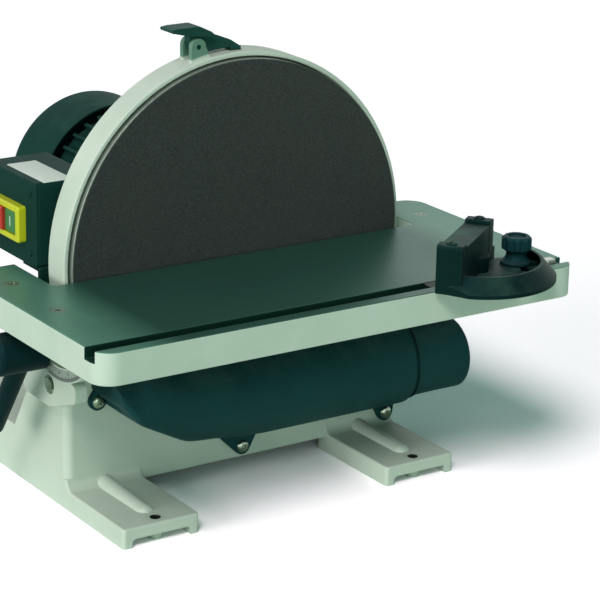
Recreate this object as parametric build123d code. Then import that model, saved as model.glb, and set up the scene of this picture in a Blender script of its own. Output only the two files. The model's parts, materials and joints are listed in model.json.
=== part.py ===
from build123d import *
import os
from math import cos, radians, sin

# Bench disc sander. Sizes in millimetres.
# Origin on the bench at the centre of the four bolt holes, -Y towards the operator, +Z up.

# Fits and clearances
RUN_FIT = 0.05
SEAT = 0.02
SIDE_GAP = 0.3
CUT = 1.0
QUARTER = 90.0

# Disc and shaft
DISC_R = 152.4
DISC_LIFT = 44.1
FACE_Y = -73.0
PAPER_T = 1.2
DISC_T = 13.0
DISC_DISH = 5.0
DISC_RIM_W = 22.0
HUB_R = 24.0
HUB_LEN = 13.0
SHAFT_R = 9.5
SHAFT_CLEAR = 2.0
SHAFT_BLIND = 5.0
HUB_SCREW_R = 3.0

# Housing behind the disc, with the guard rim round it
GUARD_SETBACK = 4.6
GUARD_GAP = 1.6
GUARD_WALL = 4.0
GUARD_DEPTH = 28.4
HOUSING_T = 7.0
HOUSING_BEVEL = 10.4
POCKET_BEVEL = 6.0
GUARD_EDGE_R = 1.2
SPIGOT_INSET = 20.0
SPIGOT_LEN = 5.0
HOUSING_BOLT_INSET = 12.0
HOUSING_BOLT_ANGLES = [-135.0, -111.0, -69.0, -45.0]
HOUSING_BOLT_R = 4.0
BOLT_HEAD_RATIO = 1.6

# Cast base
BASE_MARGIN = 5.1
BASE_DEPTH = 210.4
CAST_WALL = 8.0
SLOPE_WALL = 5.6
PILLAR_DROP = 84.0
PILLAR_DEPTH = 46.0
LEDGE_TOP = 43.5
LEDGE_SETBACK = 88.0
BASE_CORNER_R = 7.0
BASE_TOP_R = 3.0
TROUGH_GAP = 2.0
TROUGH_WEB = 7.0
HOLE_INSET = 34.2
HOLE_AHEAD = 80.6
HOLE_BEHIND = 7.0
BENCH_HOLE_R = 4.25
FOOT_W = 68.0
FOOT_H = 16.5
FOOT_TOE = 10.5
FOOT_CORNER_R = 3.0
FOOT_EDGE_R = 1.6
FOOT_ROOT_R = 8.0
FOOT_BOSS_R = 5.8
FOOT_LEG = 8.0
FOOT_CHANNEL_H = 7.0
FOOT_RIB_R = 8.0
FOOT_RIB_RISE = 7.0
FOOT_RIB_END_RISE = 4.5
FOOT_RIB_END = 17.0
ARCH_H = 12.8
EAR_W = 40.0
EAR_H = 12.0
EAR_TOE = 15.0
EAR_CORNER_R = 12.0

# Dust cover and its port, placed from the disc's rim
DUCT_AHEAD = 25.7
DUCT_INSET = 37.0
DUCT_R = 31.5
PORT_R = 30.5
PORT_REACH = 42.6
PORT_SEAT = 25.0
PORT_DRAFT = 0.6
COLLAR_INSET = 12.4
COVER_T = 3.5
COVER_LEFT_INSET = 18.1
COVER_ARC_OUT = 9.6
COVER_ARC_DROP = 7.0
COVER_SKIRT_OUT = 6.5
COVER_HEEL_OUT = 3.6
COVER_EDGE_R = 4.0
COVER_CLEAR = 3.0
TAB_T = 4.0
TAB_R = 7.5
LEFT_TAB_IN = 21.9
LEFT_TAB_UP = 43.9
LEFT_ROOT = (28.4, 52.4, 8.0)
MID_TAB_X = 5.0
MID_TAB_OUT = 21.0
MID_ROOT = (1.0, 2.4, 22.0)
RIGHT_TAB_IN = 2.4
RIGHT_TAB_OUT = 18.8
RIGHT_ROOT = (6.4, 2.4, 14.0)
COVER_SCREW_R = 2.5
PAN_HEAD_R = 5.4
PAN_HEAD_H = 3.2
PAN_ROUND_RATIO = 0.6
SLOT_W = 1.2
SLOT_DEPTH = 1.2

# Motor
FRAME_R = 63.0
FRAME_WALL = 6.0
FRAME_LEN = 133.0
FLANGE_INSET = 3.0
FLANGE_T = 12.0
FLANGE_CONE = 12.0
FIN_H = 7.0
FIN_T = 2.6
FIN_COUNT = 32
END_BELL_LEN = 16.0
BELL_WALL = 6.0
MOTOR_BOLT_R = 3.0
MOTOR_BOLT_INSET = 11.0
MOTOR_BOLT_DEPTH = 10.0
BEARING_R = 23.5
BEARING_W = 14.0
JOURNAL_R = 10.0
STATOR_T = 22.5
ROTOR_SEAT_R = 12.0
AIR_GAP = 0.5
STACK_LEN = 66.0
WINDING_LEN = 14.0
WINDING_INSET = 2.5
COWL_GAP = 5.0
COWL_T = 1.6
COWL_LEN = 63.0
COWL_EDGE_R = 11.0
COWL_OVERLAP = 14.0
COWL_SLOTS = 16
COWL_SLOT_W = 5.0
COWL_SLOT_IN = 20.0
COWL_SLOT_INSET = 17.0
COWL_SCREW_R = 2.0
LUG_COUNT = 3
LUG_ANGLE = 30.0
LUG_W = 14.0
FAN_INSET = 10.0
FAN_LEN = 22.0
FAN_HUB_R = 16.0
FAN_PLATE_RATIO = 0.97
FAN_BLADES = 9
FAN_T = 2.5
FAN_SEAT_R = 8.0
FAN_GAP = 8.0

# Table, placed from the disc's face
TABLE_DROP = 5.5
TABLE_REACH = 160.0
TABLE_WING_BACK = 63.0
WING_W = 47.5
TABLE_T = 8.0
SKIRT_H = 25.0
SKIRT_T = 8.0
TABLE_FRONT_R = 17.0
TABLE_BACK_R = 18.0
TABLE_EDGE_R = 1.0
NOTCH_SIDE = 18.1
NOTCH_GAP = 2.5
NOTCH_R = 5.0
SLOT_INSET = 16.7
MITRE_SLOT_W = 12.6
MITRE_SLOT_D = 9.0
SLOT_RIB_W = 26.0
SLOT_RIB_H = 8.0
TABLE_RIB_SPACE = 110.0
TABLE_RIB_T = 7.0
TABLE_RIB_H = 12.0

# Trunnions and tilt locks, placed from the table's tilt axis
PIVOT_AHEAD = 20.0
PIVOT_DROP = 4.5
TRUNNION_SIDE = 11.5
TRUNNION_T = 9.0
TRUNNION_R = 65.0
FLANGE_EDGE_GAP = 5.0
TRUNNION_FLANGE_T = 8.0
TRUNNION_FLANGE_FRONT = -47.0
TRUNNION_FLANGE_BACK = 52.0
ARC_R = 48.3
STUD_ANGLE = -65.6
GUIDE_ANGLE = -34.0
TILT_MAX_ANGLE = 45.0
STUD_R = 5.0
STUD_SLACK = 0.3
TABLE_SCREW_INSET = 10.0
TABLE_SCREW_YS = [-34.6, 40.0]
TABLE_SCREW_R = 3.0
TABLE_SCREW_HEAD_R = 6.5
SCALE_IN_R = 55.0
SCALE_OUT_R = 64.0
SCALE_T = 0.6
SCALE_FROM_ANGLE = -150.0
SCALE_SPAN_ANGLE = 115.0
BRACKET_FACE_GAP = 0.6
BRACKET_OUTLINE = [
    (77.0, -85.0), (72.0, -98.0), (31.0, -99.0), (-11.0, -83.5), (-11.0, -70.0), (10.0, -66.5),
    (9.0, -39.5), (29.0, -16.5), (46.0, -18.5), (55.0, -34.5), (55.0, -76.0),
]
BRACKET_CORNER_R = 5.0
STUD_BOSS_R = 11.0
BRACKET_BOLTS = [(31.0, -80.0)]
BRACKET_BOLT_R = 4.0
BRACKET_HEAD_R = 5.6
BRACKET_HEAD_H = 5.0
BRACKET_SPOT_R = 8.0
BRACKET_SPOT_D = 4.0
WASHER_R = 11.0
WASHER_T = 2.0
LEVER_HUB_R = 16.6
LEVER_HUB_LEN = 41.0
LEVER_ARM_OUT = 13.0
LEVER_LEN = 105.0
LEVER_ROOT_R = 7.6
LEVER_END_R = 7.9
LEVER_ANGLE = -55.0
STUD_COVER = 3.0

# Mitre gauge, placed from the table's right edge
SECTOR_EDGE_RUN = 16.3
BAR_TAIL = 48.7
BAR_EDGE_GAP = 11.0
BAR_SIDE_GAP = 0.15
BAR_LIFT = 0.3
BAR_H = 8.4
HEAD_LIFT = 0.4
FENCE_ANGLE = 36.5
FENCE_OFFSET = 17.2
FENCE_T = 20.5
FENCE_H = 39.0
FENCE_FRONT = 57.8
FENCE_REAR = 31.0
FENCE_POST = 12.0
FENCE_SLIT = 2.4
FENCE_STEP = 2.8
FENCE_SCREW_LEN = 11.0
FENCE_SCREW_HEAD_R = 4.4
FENCE_SCREW_HEAD_H = 1.8
SECTOR_R = 62.0
SECTOR_BEVEL = 10.5
SECTOR_EDGE_H = 3.0
SECTOR_H = 14.5
SECTOR_FLOOR = 4.0
SECTOR_WALL = 2.6
SECTOR_FRONT_ANGLE = 80.0
SECTOR_REAR_ANGLE = 61.0
CLAMP_INSET = 23.7
CLAMP_SLOT_W = 6.8
CLAMP_HALF_ANGLE = 57.0
PIVOT_PIN_R = 5.0
PIVOT_HUB_R = 9.0
PIVOT_DEPTH = 14.0
KNOB_BASE_R = 12.5
KNOB_NECK_R = 8.0
KNOB_WAIST_R = 8.6
KNOB_TOP_R = 12.0
KNOB_H = 22.5
KNOB_WAIST_H = 5.8
KNOB_COLLAR_H = 9.8
KNOB_CROWN_H = 12.6
KNOB_LIP = 2.0
KNOB_FLUTES = 10
KNOB_FLUTE_R = 2.6
KNOB_FLUTE_H = 10.5
KNOB_DISH_R = 7.5
KNOB_DISH_D = 1.8
KNOB_STUD_R = 3.0
KNOB_STUD_DEPTH = 10.8
KNOB_LIFT = 0.4
MITRE_POINTER_T = 1.6
MITRE_POINTER_W = 7.0
MITRE_POINTER_SET = 2.0
MITRE_POINTER_LIFT = 1.0

# Switch unit
SWITCH_OUT = 10.2
SWITCH_W = 52.6
SWITCH_LEN = 85.0
SWITCH_DROP = 4.5
SWITCH_H = 68.2
SWITCH_WALL = 2.5
SWITCH_EDGE_R = 3.0
PLATE_SCREW_INSET = 10.0
PLATE_SCREW_R = 1.8
PLATE_SCREW_LEN = 10.0
PLATE_POST_R = 5.4
BEZEL_INSET = 17.5
BEZEL_LEN = 49.5
BEZEL_DROP = 22.2
BEZEL_H = 29.5
BEZEL_OUT = 7.0
BEZEL_RIM = 5.0
BUTTON_GAP = 0.4
BUTTON_RIM = 1.6
START_OUT = -0.6
STOP_OUT = 2.4
BUTTON_TRAVEL = 3.5
MODULE_DEPTH = 30.0
CAPACITOR_R = 14.0
CAPACITOR_LEN = 15.0
STRAP_T = 3.4
STRAP_DROP = 24.0
STRAP_SHELF_W = 40.0
STRAP_SHELF_LEN = 28.0
STRAP_FOOT_W = 26.0
STRAP_FOOT_H = 12.0
STRAP_FOOT_INSET = 6.0
STRAP_SCREW_XS = [14.0, 30.0]
SMALL_SCREW_R = 2.5
GLAND_R = 9.0
GLAND_NECK_R = 6.3
GLAND_DOME_R = 7.2
GLAND_LEN = 14.0
GLAND_NUT_LEN = 5.6
GLAND_EDGE_R = 2.0
GLAND_BORE_R = 4.0
GLAND_INSET = 20.0
GLAND_RISE = 22.0

# Disc brake, heights above the guard rim
BRAKE_BACK = 17.0
BRAKE_W = 18.0
BRAKE_WEB = 8.0
BRAKE_PIN_X = -36.0
BRAKE_PIN_UP = 6.5
BRAKE_PIN_R = 2.0
BRAKE_EYE_R = 4.5
BRAKE_EAR_R = 6.5
BRAKE_EAR_T = 4.5
BRAKE_EAR_DROP = 14.0
BRAKE_SHOE_X = 1.0
BRAKE_SHOE_LEN = 9.0
BRAKE_SHOE_T = 3.0
BRAKE_SHOE_GAP = 2.3
BRAKE_SLOT_GAP = 1.2
BRAKE_CORNER_R = 0.9
BRAKE_PADDLE = [
    (-61.0, 21.7), (-60.0, 19.4), (-48.0, 16.6), (-30.0, 14.2), (-21.6, 12.8),
    (-21.6, 15.1), (-24.6, 17.8), (-35.2, 22.8), (-55.0, 22.6),
]
BRAKE_WEB_TOP = [(-42.0, 17.0), (-24.6, 17.0), (-21.6, 15.1), (-10.5, 11.2), (-4.0, 8.6), (5.5, 2.6)]
BRAKE_WEB_UNDER = [(-3.5, 5.0), (-12.0, 7.5), (-24.0, 10.0)]

# Places of the disc, housing and base
AXIS_Z = DISC_R + DISC_LIFT
DISC_AXIS = Axis((0, 0, AXIS_Z), (0, 1, 0))
PAPER_BACK = FACE_Y + PAPER_T
DISC_BACK = PAPER_BACK + DISC_T
HUB_END = DISC_BACK + HUB_LEN
GUARD_R = DISC_R + GUARD_GAP
GUARD_OUT_R = GUARD_R + GUARD_WALL
WALL_Y = FACE_Y + GUARD_SETBACK
HOUSING_Y = WALL_Y + GUARD_DEPTH
MOTOR_Y = HOUSING_Y + HOUSING_T
HOUSING_BOLT_CIRCLE_R = DISC_R - HOUSING_BOLT_INSET
HALF_W = DISC_R + BASE_MARGIN
PILLAR_TOP = AXIS_Z - PILLAR_DROP
BASE_BACK = WALL_Y + BASE_DEPTH
TROUGH_R = GUARD_OUT_R + TROUGH_GAP
HOLE_X = HALF_W - HOLE_INSET
HOLE_FRONT_Y = WALL_Y - HOLE_AHEAD
HOLE_BACK_Y = BASE_BACK + HOLE_BEHIND
FOOT_FRONT = HOLE_FRONT_Y - FOOT_TOE

# Places of the dust cover
DUCT_Y = FACE_Y - DUCT_AHEAD
DUCT_Z = AXIS_Z - DISC_R + DUCT_INSET
PORT_END_X = DISC_R + PORT_REACH
COLLAR_X = DISC_R - COLLAR_INSET
COVER_LEFT_X = COVER_LEFT_INSET - DISC_R
COVER_ARC_R = DISC_R + COVER_ARC_OUT
COVER_HEEL_X = DISC_R + COVER_HEEL_OUT
SKIRT_Z = AXIS_Z - DISC_R - COVER_SKIRT_OUT
COVER_SCREWS = [
    (LEFT_TAB_IN - DISC_R, DISC_LIFT + LEFT_TAB_UP),
    (MID_TAB_X, DISC_LIFT - MID_TAB_OUT),
    (DISC_R - RIGHT_TAB_IN, DISC_LIFT - RIGHT_TAB_OUT),
]
TAB_ROOTS = [
    (LEFT_ROOT[0] - DISC_R, DISC_LIFT + LEFT_ROOT[1], LEFT_ROOT[2]),
    (MID_ROOT[0], DISC_LIFT + MID_ROOT[1], MID_ROOT[2]),
    (DISC_R - RIGHT_ROOT[0], DISC_LIFT + RIGHT_ROOT[1], RIGHT_ROOT[2]),
]

# Places of the motor
FRAME_BORE_R = FRAME_R - FRAME_WALL
FIN_TOP_R = FRAME_R + FIN_H
FLANGE_R = FRAME_R - FLANGE_INSET
SPIGOT_R = FLANGE_R - SPIGOT_INSET
MOTOR_BOLT_CIRCLE_R = FLANGE_R - MOTOR_BOLT_INSET
ROTOR_R = FRAME_BORE_R - STATOR_T - AIR_GAP
COWL_R = FIN_TOP_R + COWL_GAP
COWL_SLOT_OUT = COWL_R - COWL_SLOT_INSET
FAN_R = COWL_R - FAN_INSET
FRAME_Y = MOTOR_Y + FLANGE_T + FLANGE_CONE
FRAME_END = FRAME_Y + FRAME_LEN
BELL_END = FRAME_END + END_BELL_LEN
FRONT_BEARING_Y = MOTOR_Y + BELL_WALL
REAR_BEARING_Y = BELL_END - BELL_WALL / 2 - BEARING_W
STACK_Y = (FRAME_Y + FRAME_END - STACK_LEN) / 2
COWL_Y = BELL_END - COWL_OVERLAP
COWL_END = COWL_Y + COWL_LEN
FAN_Y = BELL_END + FAN_GAP

# Places of the table, trunnions and locks
TABLE_TOP = AXIS_Z - TABLE_DROP
TABLE_UNDER = TABLE_TOP - TABLE_T
SKIRT_BOTTOM = TABLE_TOP - SKIRT_H
TABLE_FRONT = FACE_Y - TABLE_REACH
TABLE_BACK = FACE_Y + TABLE_WING_BACK
NOTCH_X = DISC_R + NOTCH_SIDE
NOTCH_Y = FACE_Y - NOTCH_GAP
TABLE_X = NOTCH_X + WING_W
SLOT_Y = TABLE_FRONT + SLOT_INSET
PIVOT_Y = FACE_Y - PIVOT_AHEAD
PIVOT_Z = TABLE_TOP - PIVOT_DROP
TRUNNION_IN_X = HALF_W + TRUNNION_SIDE
TRUNNION_OUT_X = TRUNNION_IN_X + TRUNNION_T
TRUNNION_FLANGE_X = TABLE_X - SKIRT_T - FLANGE_EDGE_GAP
TABLE_SCREW_X = TRUNNION_FLANGE_X - TABLE_SCREW_INSET
STUD_Y = PIVOT_Y + ARC_R * cos(radians(STUD_ANGLE))
STUD_Z = PIVOT_Z + ARC_R * sin(radians(STUD_ANGLE))
GUIDE_Y = PIVOT_Y + ARC_R * cos(radians(GUIDE_ANGLE))
GUIDE_Z = PIVOT_Z + ARC_R * sin(radians(GUIDE_ANGLE))
BRACKET_OUT_X = TRUNNION_IN_X - BRACKET_FACE_GAP
WASHER_X = TRUNNION_OUT_X + SCALE_T + SIDE_GAP / 2
LEVER_X = WASHER_X + WASHER_T + SIDE_GAP
LEVER_END_X = LEVER_X + LEVER_HUB_LEN

# Places of the mitre gauge
BAR_RIGHT = TABLE_X - BAR_EDGE_GAP
MITRE_X = BAR_RIGHT - SECTOR_R - SECTOR_EDGE_RUN
BAR_LEFT = MITRE_X - BAR_TAIL
SECTOR_TOP_R = SECTOR_R - SECTOR_BEVEL
CLAMP_R = SECTOR_R - CLAMP_INSET
BAR_BOTTOM = TABLE_TOP - MITRE_SLOT_D + BAR_LIFT
BAR_TOP = BAR_BOTTOM + BAR_H
HEAD_Z = TABLE_TOP + HEAD_LIFT
FLOOR_Z = HEAD_Z + SECTOR_FLOOR
KNOB_X = MITRE_X + CLAMP_R
KNOB_Z = FLOOR_Z + KNOB_LIFT

# Places of the switch unit and the brake
SWITCH_LEFT = -DISC_R - SWITCH_OUT
SWITCH_RIGHT = SWITCH_LEFT + SWITCH_W
SWITCH_Y = MOTOR_Y
SWITCH_BACK = SWITCH_Y + SWITCH_LEN
SWITCH_BOTTOM = AXIS_Z - SWITCH_DROP
SWITCH_TOP = SWITCH_BOTTOM + SWITCH_H
PLATE_IN = SWITCH_LEFT + SWITCH_WALL
BUTTON_LEN = (BEZEL_LEN - 2 * BEZEL_RIM - 3 * BUTTON_GAP) / 2
BUTTON_Z0 = SWITCH_TOP - BEZEL_DROP - BEZEL_H + BEZEL_RIM + BUTTON_GAP
BUTTON_Z1 = SWITCH_TOP - BEZEL_DROP - BEZEL_RIM - BUTTON_GAP
STRAP_SCREW_Y = SWITCH_Y + STRAP_SHELF_LEN / 2
RIM_Z = AXIS_Z + GUARD_OUT_R
BRAKE_Y = FACE_Y + BRAKE_BACK
BRAKE_PIN_Z = RIM_Z + BRAKE_PIN_UP
BRAKE_TOE_Z = AXIS_Z + DISC_R + BRAKE_SHOE_GAP + BRAKE_SHOE_T


# Shape helpers
def block(x0, x1, y0, y1, z0, z1):
    """Box between two corners."""
    return Pos((x0 + x1) / 2, (y0 + y1) / 2, (z0 + z1) / 2) * Box(x1 - x0, y1 - y0, z1 - z0)


def draw_x(sketch, x0, x1):
    """Draw a side view sketch of (y, z) out from x0 to x1."""
    return extrude(Plane.YZ.offset(x0) * sketch, amount=x1 - x0, dir=(1, 0, 0))


def draw_y(sketch, y0, y1):
    """Draw a front view sketch of (x, z) out from y0 to y1."""
    return extrude(Plane.XZ.offset(-y0) * sketch, amount=y1 - y0, dir=(0, 1, 0))


def draw_z(sketch, z0, z1):
    """Draw a plan view sketch of (x, y) out from z0 to z1."""
    return extrude(Plane.XY.offset(z0) * sketch, amount=z1 - z0, dir=(0, 0, 1))


def outline(points):
    """Closed outline through the points, always drawn anticlockwise."""
    ahead = points[1:] + points[:1]
    turn = sum(a[0] * b[1] - b[0] * a[1] for a, b in zip(points, ahead))
    return Polygon(*(points if turn > 0 else points[::-1]), align=None)


def rounded(points, radius):
    """Closed outline through the points with every corner rounded."""
    shape = outline(points)
    return fillet(shape.vertices(), radius)


def rod_x(radius, x0, x1, y, z):
    """Round bar along X."""
    return draw_x(Pos(y, z) * Circle(radius), x0, x1)


def rod_y(radius, y0, y1, x=0.0, z=AXIS_Z):
    """Round bar along Y, on the disc axis unless placed."""
    return draw_y(Pos(x, z) * Circle(radius), y0, y1)


def rod_z(radius, z0, z1, x, y):
    """Round bar along Z."""
    return draw_z(Pos(x, y) * Circle(radius), z0, z1)


def turned(points):
    """Profile of (radius, y) points turned about the disc axis."""
    return revolve(Plane.YZ * outline([(y, AXIS_Z + r) for r, y in points]), axis=DISC_AXIS)


def ring_y(r_in, r_out, y0, y1):
    """Plain ring about the disc axis."""
    return rod_y(r_out, y0, y1) - rod_y(r_in, y0, y1)


def around(shape, count, start=0.0):
    """Copies of a shape spread evenly round the disc axis."""
    return [shape.rotate(DISC_AXIS, start + 360.0 * k / count) for k in range(count)]


def pan_screw(plane, shank_r, shank_len, head_r, head_h):
    """Slotted pan head screw: the plane lies under the head, its normal points out of the head."""
    head = Pos(0, 0, head_h / 2) * Cylinder(head_r, head_h)
    head = fillet(head.edges().sort_by(Axis.Z)[-1], head_h * PAN_ROUND_RATIO)
    head -= Pos(0, 0, head_h) * Box(2 * head_r, SLOT_W, 2 * SLOT_DEPTH)
    shank = Pos(0, 0, -shank_len / 2) * Cylinder(shank_r, shank_len)
    return plane * (head + shank)


def hex_bolt(plane, shank_r, shank_len, head_r, head_h):
    """Hexagon bolt, head across corners 2 head_r, on the same kind of plane."""
    head = extrude(RegularPolygon(head_r, 6), amount=head_h)
    shank = Pos(0, 0, -shank_len / 2) * Cylinder(shank_r, shank_len)
    return plane * (head + shank)


def mirrored(shape):
    """The same piece on the other side of the machine."""
    return mirror(shape, about=Plane.YZ)


# Base, housing and dust cover
def bench_holes():
    """The four places of the bench bolts."""
    return [(side * HOLE_X, y) for side in (-1, 1) for y in (HOLE_FRONT_Y, HOLE_BACK_Y)]


def left_foot():
    """Front foot: a channel with a half-round rib on top and a boss under the bolt hole."""
    root_top = FOOT_H + FOOT_ROOT_R + CUT
    inner = WALL_Y + CAST_WALL
    side = outline([
        (FOOT_FRONT, 0), (FOOT_FRONT, FOOT_H), (WALL_Y, FOOT_H),
        (WALL_Y, root_top), (inner, root_top), (inner, 0),
    ])
    root = side.vertices().sort_by_distance((WALL_Y, FOOT_H, 0))[0]
    side = fillet(root, FOOT_ROOT_R)
    foot = draw_x(side, -HALF_W, FOOT_W - HALF_W)
    toes = foot.edges().filter_by(Axis.Z).group_by(Axis.Y)[0]
    foot = fillet(toes, FOOT_CORNER_R)
    foot = fillet(foot.edges().group_by(Axis.Y)[0].sort_by(Axis.Z)[-1], FOOT_EDGE_R)
    channel = rounded([
        (FOOT_LEG - HALF_W, -FOOT_CHANNEL_H), (FOOT_LEG - HALF_W, FOOT_CHANNEL_H),
        (FOOT_W - FOOT_LEG - HALF_W, FOOT_CHANNEL_H), (FOOT_W - FOOT_LEG - HALF_W, -FOOT_CHANNEL_H),
    ], FOOT_CHANNEL_H / 2)
    foot -= draw_y(channel, FOOT_FRONT - CUT, WALL_Y)
    foot += rod_z(FOOT_BOSS_R, 0, FOOT_CHANNEL_H + CUT, -HOLE_X, HOLE_FRONT_Y)
    back = Vector(-HOLE_X, WALL_Y + CAST_WALL / 2, FOOT_H + FOOT_RIB_RISE - FOOT_RIB_R)
    tip = Vector(-HOLE_X, HOLE_FRONT_Y + FOOT_RIB_END, FOOT_H + FOOT_RIB_END_RISE - FOOT_RIB_R)
    rib = Plane(origin=tip, z_dir=back - tip) * extrude(Circle(FOOT_RIB_R), amount=(back - tip).length)
    rib += Pos(tip) * Sphere(FOOT_RIB_R)
    rib &= block(-HALF_W, 0, FOOT_FRONT, inner, FOOT_CHANNEL_H + CUT, PILLAR_TOP)
    return foot + rib


def base_casting():
    """Hollow cast base: two pillars either side of the disc trough, ledge behind, feet and ears."""
    pillar_back = WALL_Y + PILLAR_DEPTH
    ledge_y = WALL_Y + LEDGE_SETBACK
    body = draw_x(outline([
        (WALL_Y, 0), (WALL_Y, PILLAR_TOP), (pillar_back, PILLAR_TOP),
        (ledge_y, LEDGE_TOP), (BASE_BACK, LEDGE_TOP), (BASE_BACK, 0),
    ]), -HALF_W, HALF_W)
    body = fillet(body.edges().filter_by(Axis.Z), BASE_CORNER_R)
    body = fillet(body.faces().sort_by(Axis.Z)[-1].edges(), BASE_TOP_R)
    body -= rod_y(TROUGH_R, WALL_Y - CUT, MOTOR_Y)
    hollow = draw_x(outline([
        (WALL_Y + CAST_WALL, -CUT), (WALL_Y + CAST_WALL, PILLAR_TOP - CAST_WALL),
        (pillar_back - SLOPE_WALL, PILLAR_TOP - CAST_WALL), (ledge_y - SLOPE_WALL, LEDGE_TOP - CAST_WALL),
        (BASE_BACK - CAST_WALL, LEDGE_TOP - CAST_WALL), (BASE_BACK - CAST_WALL, -CUT),
    ]), CAST_WALL - HALF_W, HALF_W - CAST_WALL)
    hollow -= rod_y(TROUGH_R + TROUGH_WEB, WALL_Y, MOTOR_Y + CAST_WALL)
    body -= hollow
    arch = HALF_W - FOOT_W
    body -= block(-arch, arch, WALL_Y - CUT, WALL_Y + CAST_WALL + CUT, -CUT, ARCH_H)
    body -= block(-arch, arch, BASE_BACK - CAST_WALL - CUT, BASE_BACK + CUT, -CUT, ARCH_H)
    foot = left_foot()
    body += [foot, mirrored(foot)]
    ear_back = HOLE_BACK_Y + EAR_TOE
    for side in (-1, 1):
        ear_x = side * HOLE_X
        ear = block(ear_x - EAR_W / 2, ear_x + EAR_W / 2, BASE_BACK - CAST_WALL, ear_back, 0, EAR_H)
        body += fillet(ear.edges().filter_by(Axis.Z).group_by(Axis.Y)[-1], EAR_CORNER_R)
    for x, y in bench_holes():
        body -= rod_z(BENCH_HOLE_R, -CUT, FOOT_H + FOOT_RIB_RISE, x, y)
    for x, z in COVER_SCREWS:
        body -= rod_y(TAB_R + SIDE_GAP, WALL_Y - 2 * FOOT_ROOT_R, WALL_Y, x, z)
        body -= rod_y(COVER_SCREW_R + SEAT, WALL_Y - CUT, WALL_Y + CAST_WALL + CUT, x, z)
    for x, z in housing_bolt_places():
        body -= rod_y(HOUSING_BOLT_R + SEAT, MOTOR_Y - CUT, MOTOR_Y + CAST_WALL + CUT, x, z)
    for side in (-1, 1):
        for y, z in bracket_bolt_places():
            body -= rod_x(BRACKET_BOLT_R + SEAT, side * HALF_W, side * (HALF_W - 2 * CAST_WALL), y, z)
    return body


def housing_bolt_places():
    """Bolts of the housing as (x, z), on a circle inside the disc's rim."""
    angles = [radians(a) for a in HOUSING_BOLT_ANGLES]
    return [(HOUSING_BOLT_CIRCLE_R * cos(a), AXIS_Z + HOUSING_BOLT_CIRCLE_R * sin(a)) for a in angles]


def disc_housing():
    """Dished housing: back plate with the motor bore, guard rim with the brake's ears and slot on top."""
    dish = turned([
        (SPIGOT_R + SEAT, HOUSING_Y), (GUARD_R - POCKET_BEVEL, HOUSING_Y),
        (GUARD_R, HOUSING_Y - POCKET_BEVEL),
        (GUARD_R, WALL_Y), (GUARD_OUT_R, WALL_Y), (GUARD_OUT_R, MOTOR_Y - HOUSING_BEVEL),
        (GUARD_OUT_R - HOUSING_BEVEL, MOTOR_Y), (SPIGOT_R + SEAT, MOTOR_Y),
    ])
    front = dish.faces().sort_by(Axis.Y)[0]
    dish = fillet(front.edges(), GUARD_EDGE_R)
    root_z = BRAKE_PIN_Z - BRAKE_EAR_DROP
    for side in (-1, 1):
        y0 = BRAKE_Y + side * (BRAKE_WEB / 2 + SIDE_GAP)
        y1 = y0 + side * BRAKE_EAR_T
        ear = Pos(BRAKE_PIN_X, BRAKE_PIN_Z) * Circle(BRAKE_EAR_R)
        ear += outline([
            (BRAKE_PIN_X - BRAKE_EAR_R, root_z), (BRAKE_PIN_X - BRAKE_EAR_R, BRAKE_PIN_Z),
            (BRAKE_PIN_X + BRAKE_EAR_R, BRAKE_PIN_Z), (BRAKE_PIN_X + 2 * BRAKE_EAR_R, root_z),
        ])
        lug = draw_y(ear, min(y0, y1), max(y0, y1)) - rod_y(GUARD_R + GUARD_WALL / 2, WALL_Y, HOUSING_Y)
        lug -= rod_y(BRAKE_PIN_R + SEAT, min(y0, y1) - CUT, max(y0, y1) + CUT, BRAKE_PIN_X, BRAKE_PIN_Z)
        dish += lug
    x0, x1 = brake_shoe_ends()
    half = BRAKE_WEB / 2 + BRAKE_SLOT_GAP
    dish -= block(
        x0 - BRAKE_SLOT_GAP, x1 + BRAKE_SLOT_GAP, BRAKE_Y - half, BRAKE_Y + half,
        AXIS_Z + DISC_R - CUT, RIM_Z + CUT,
    )
    for x, z in housing_bolt_places():
        dish -= rod_y(HOUSING_BOLT_R + SEAT, HOUSING_Y - CUT, MOTOR_Y + CUT, x, z)
    for x, z in motor_bolt_places():
        dish -= rod_y(MOTOR_BOLT_R + SEAT, HOUSING_Y - CUT, MOTOR_Y + CUT, x, z)
    foot_x, foot_z = strap_screw_place()
    dish -= rod_y(SMALL_SCREW_R + SEAT, HOUSING_Y - CUT, MOTOR_Y + CUT, foot_x, foot_z)
    return dish


def housing_bolts():
    """Hexagon bolts from the housing into the base's back wall."""
    return [
        hex_bolt(
            Plane(origin=(x, HOUSING_Y, z), z_dir=(0, -1, 0)),
            HOUSING_BOLT_R, HOUSING_T + CAST_WALL, HOUSING_BOLT_R * BOLT_HEAD_RATIO, HOUSING_BOLT_R,
        )
        for x, z in housing_bolt_places()
    ]


def duct_section(inset, back_y):
    """Section of the shroud: round in front, a fuller curve below it, flat at the back."""
    radius = DUCT_R - inset
    front = (DUCT_Y - radius, DUCT_Z)
    heel = (back_y, SKIRT_Z + inset)
    top_front = (DUCT_Y, DUCT_Z + radius)
    top_back = (back_y, DUCT_Z + radius)
    crown = CenterArc((DUCT_Y, DUCT_Z), radius, QUARTER, QUARTER)
    belly = EllipticalCenterArc(
        (back_y, DUCT_Z), back_y - front[0], DUCT_Z - heel[1], 2 * QUARTER, arc_size=QUARTER,
    )
    return make_face([Line(top_back, top_front), crown, belly, Line(heel, top_back)])


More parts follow.
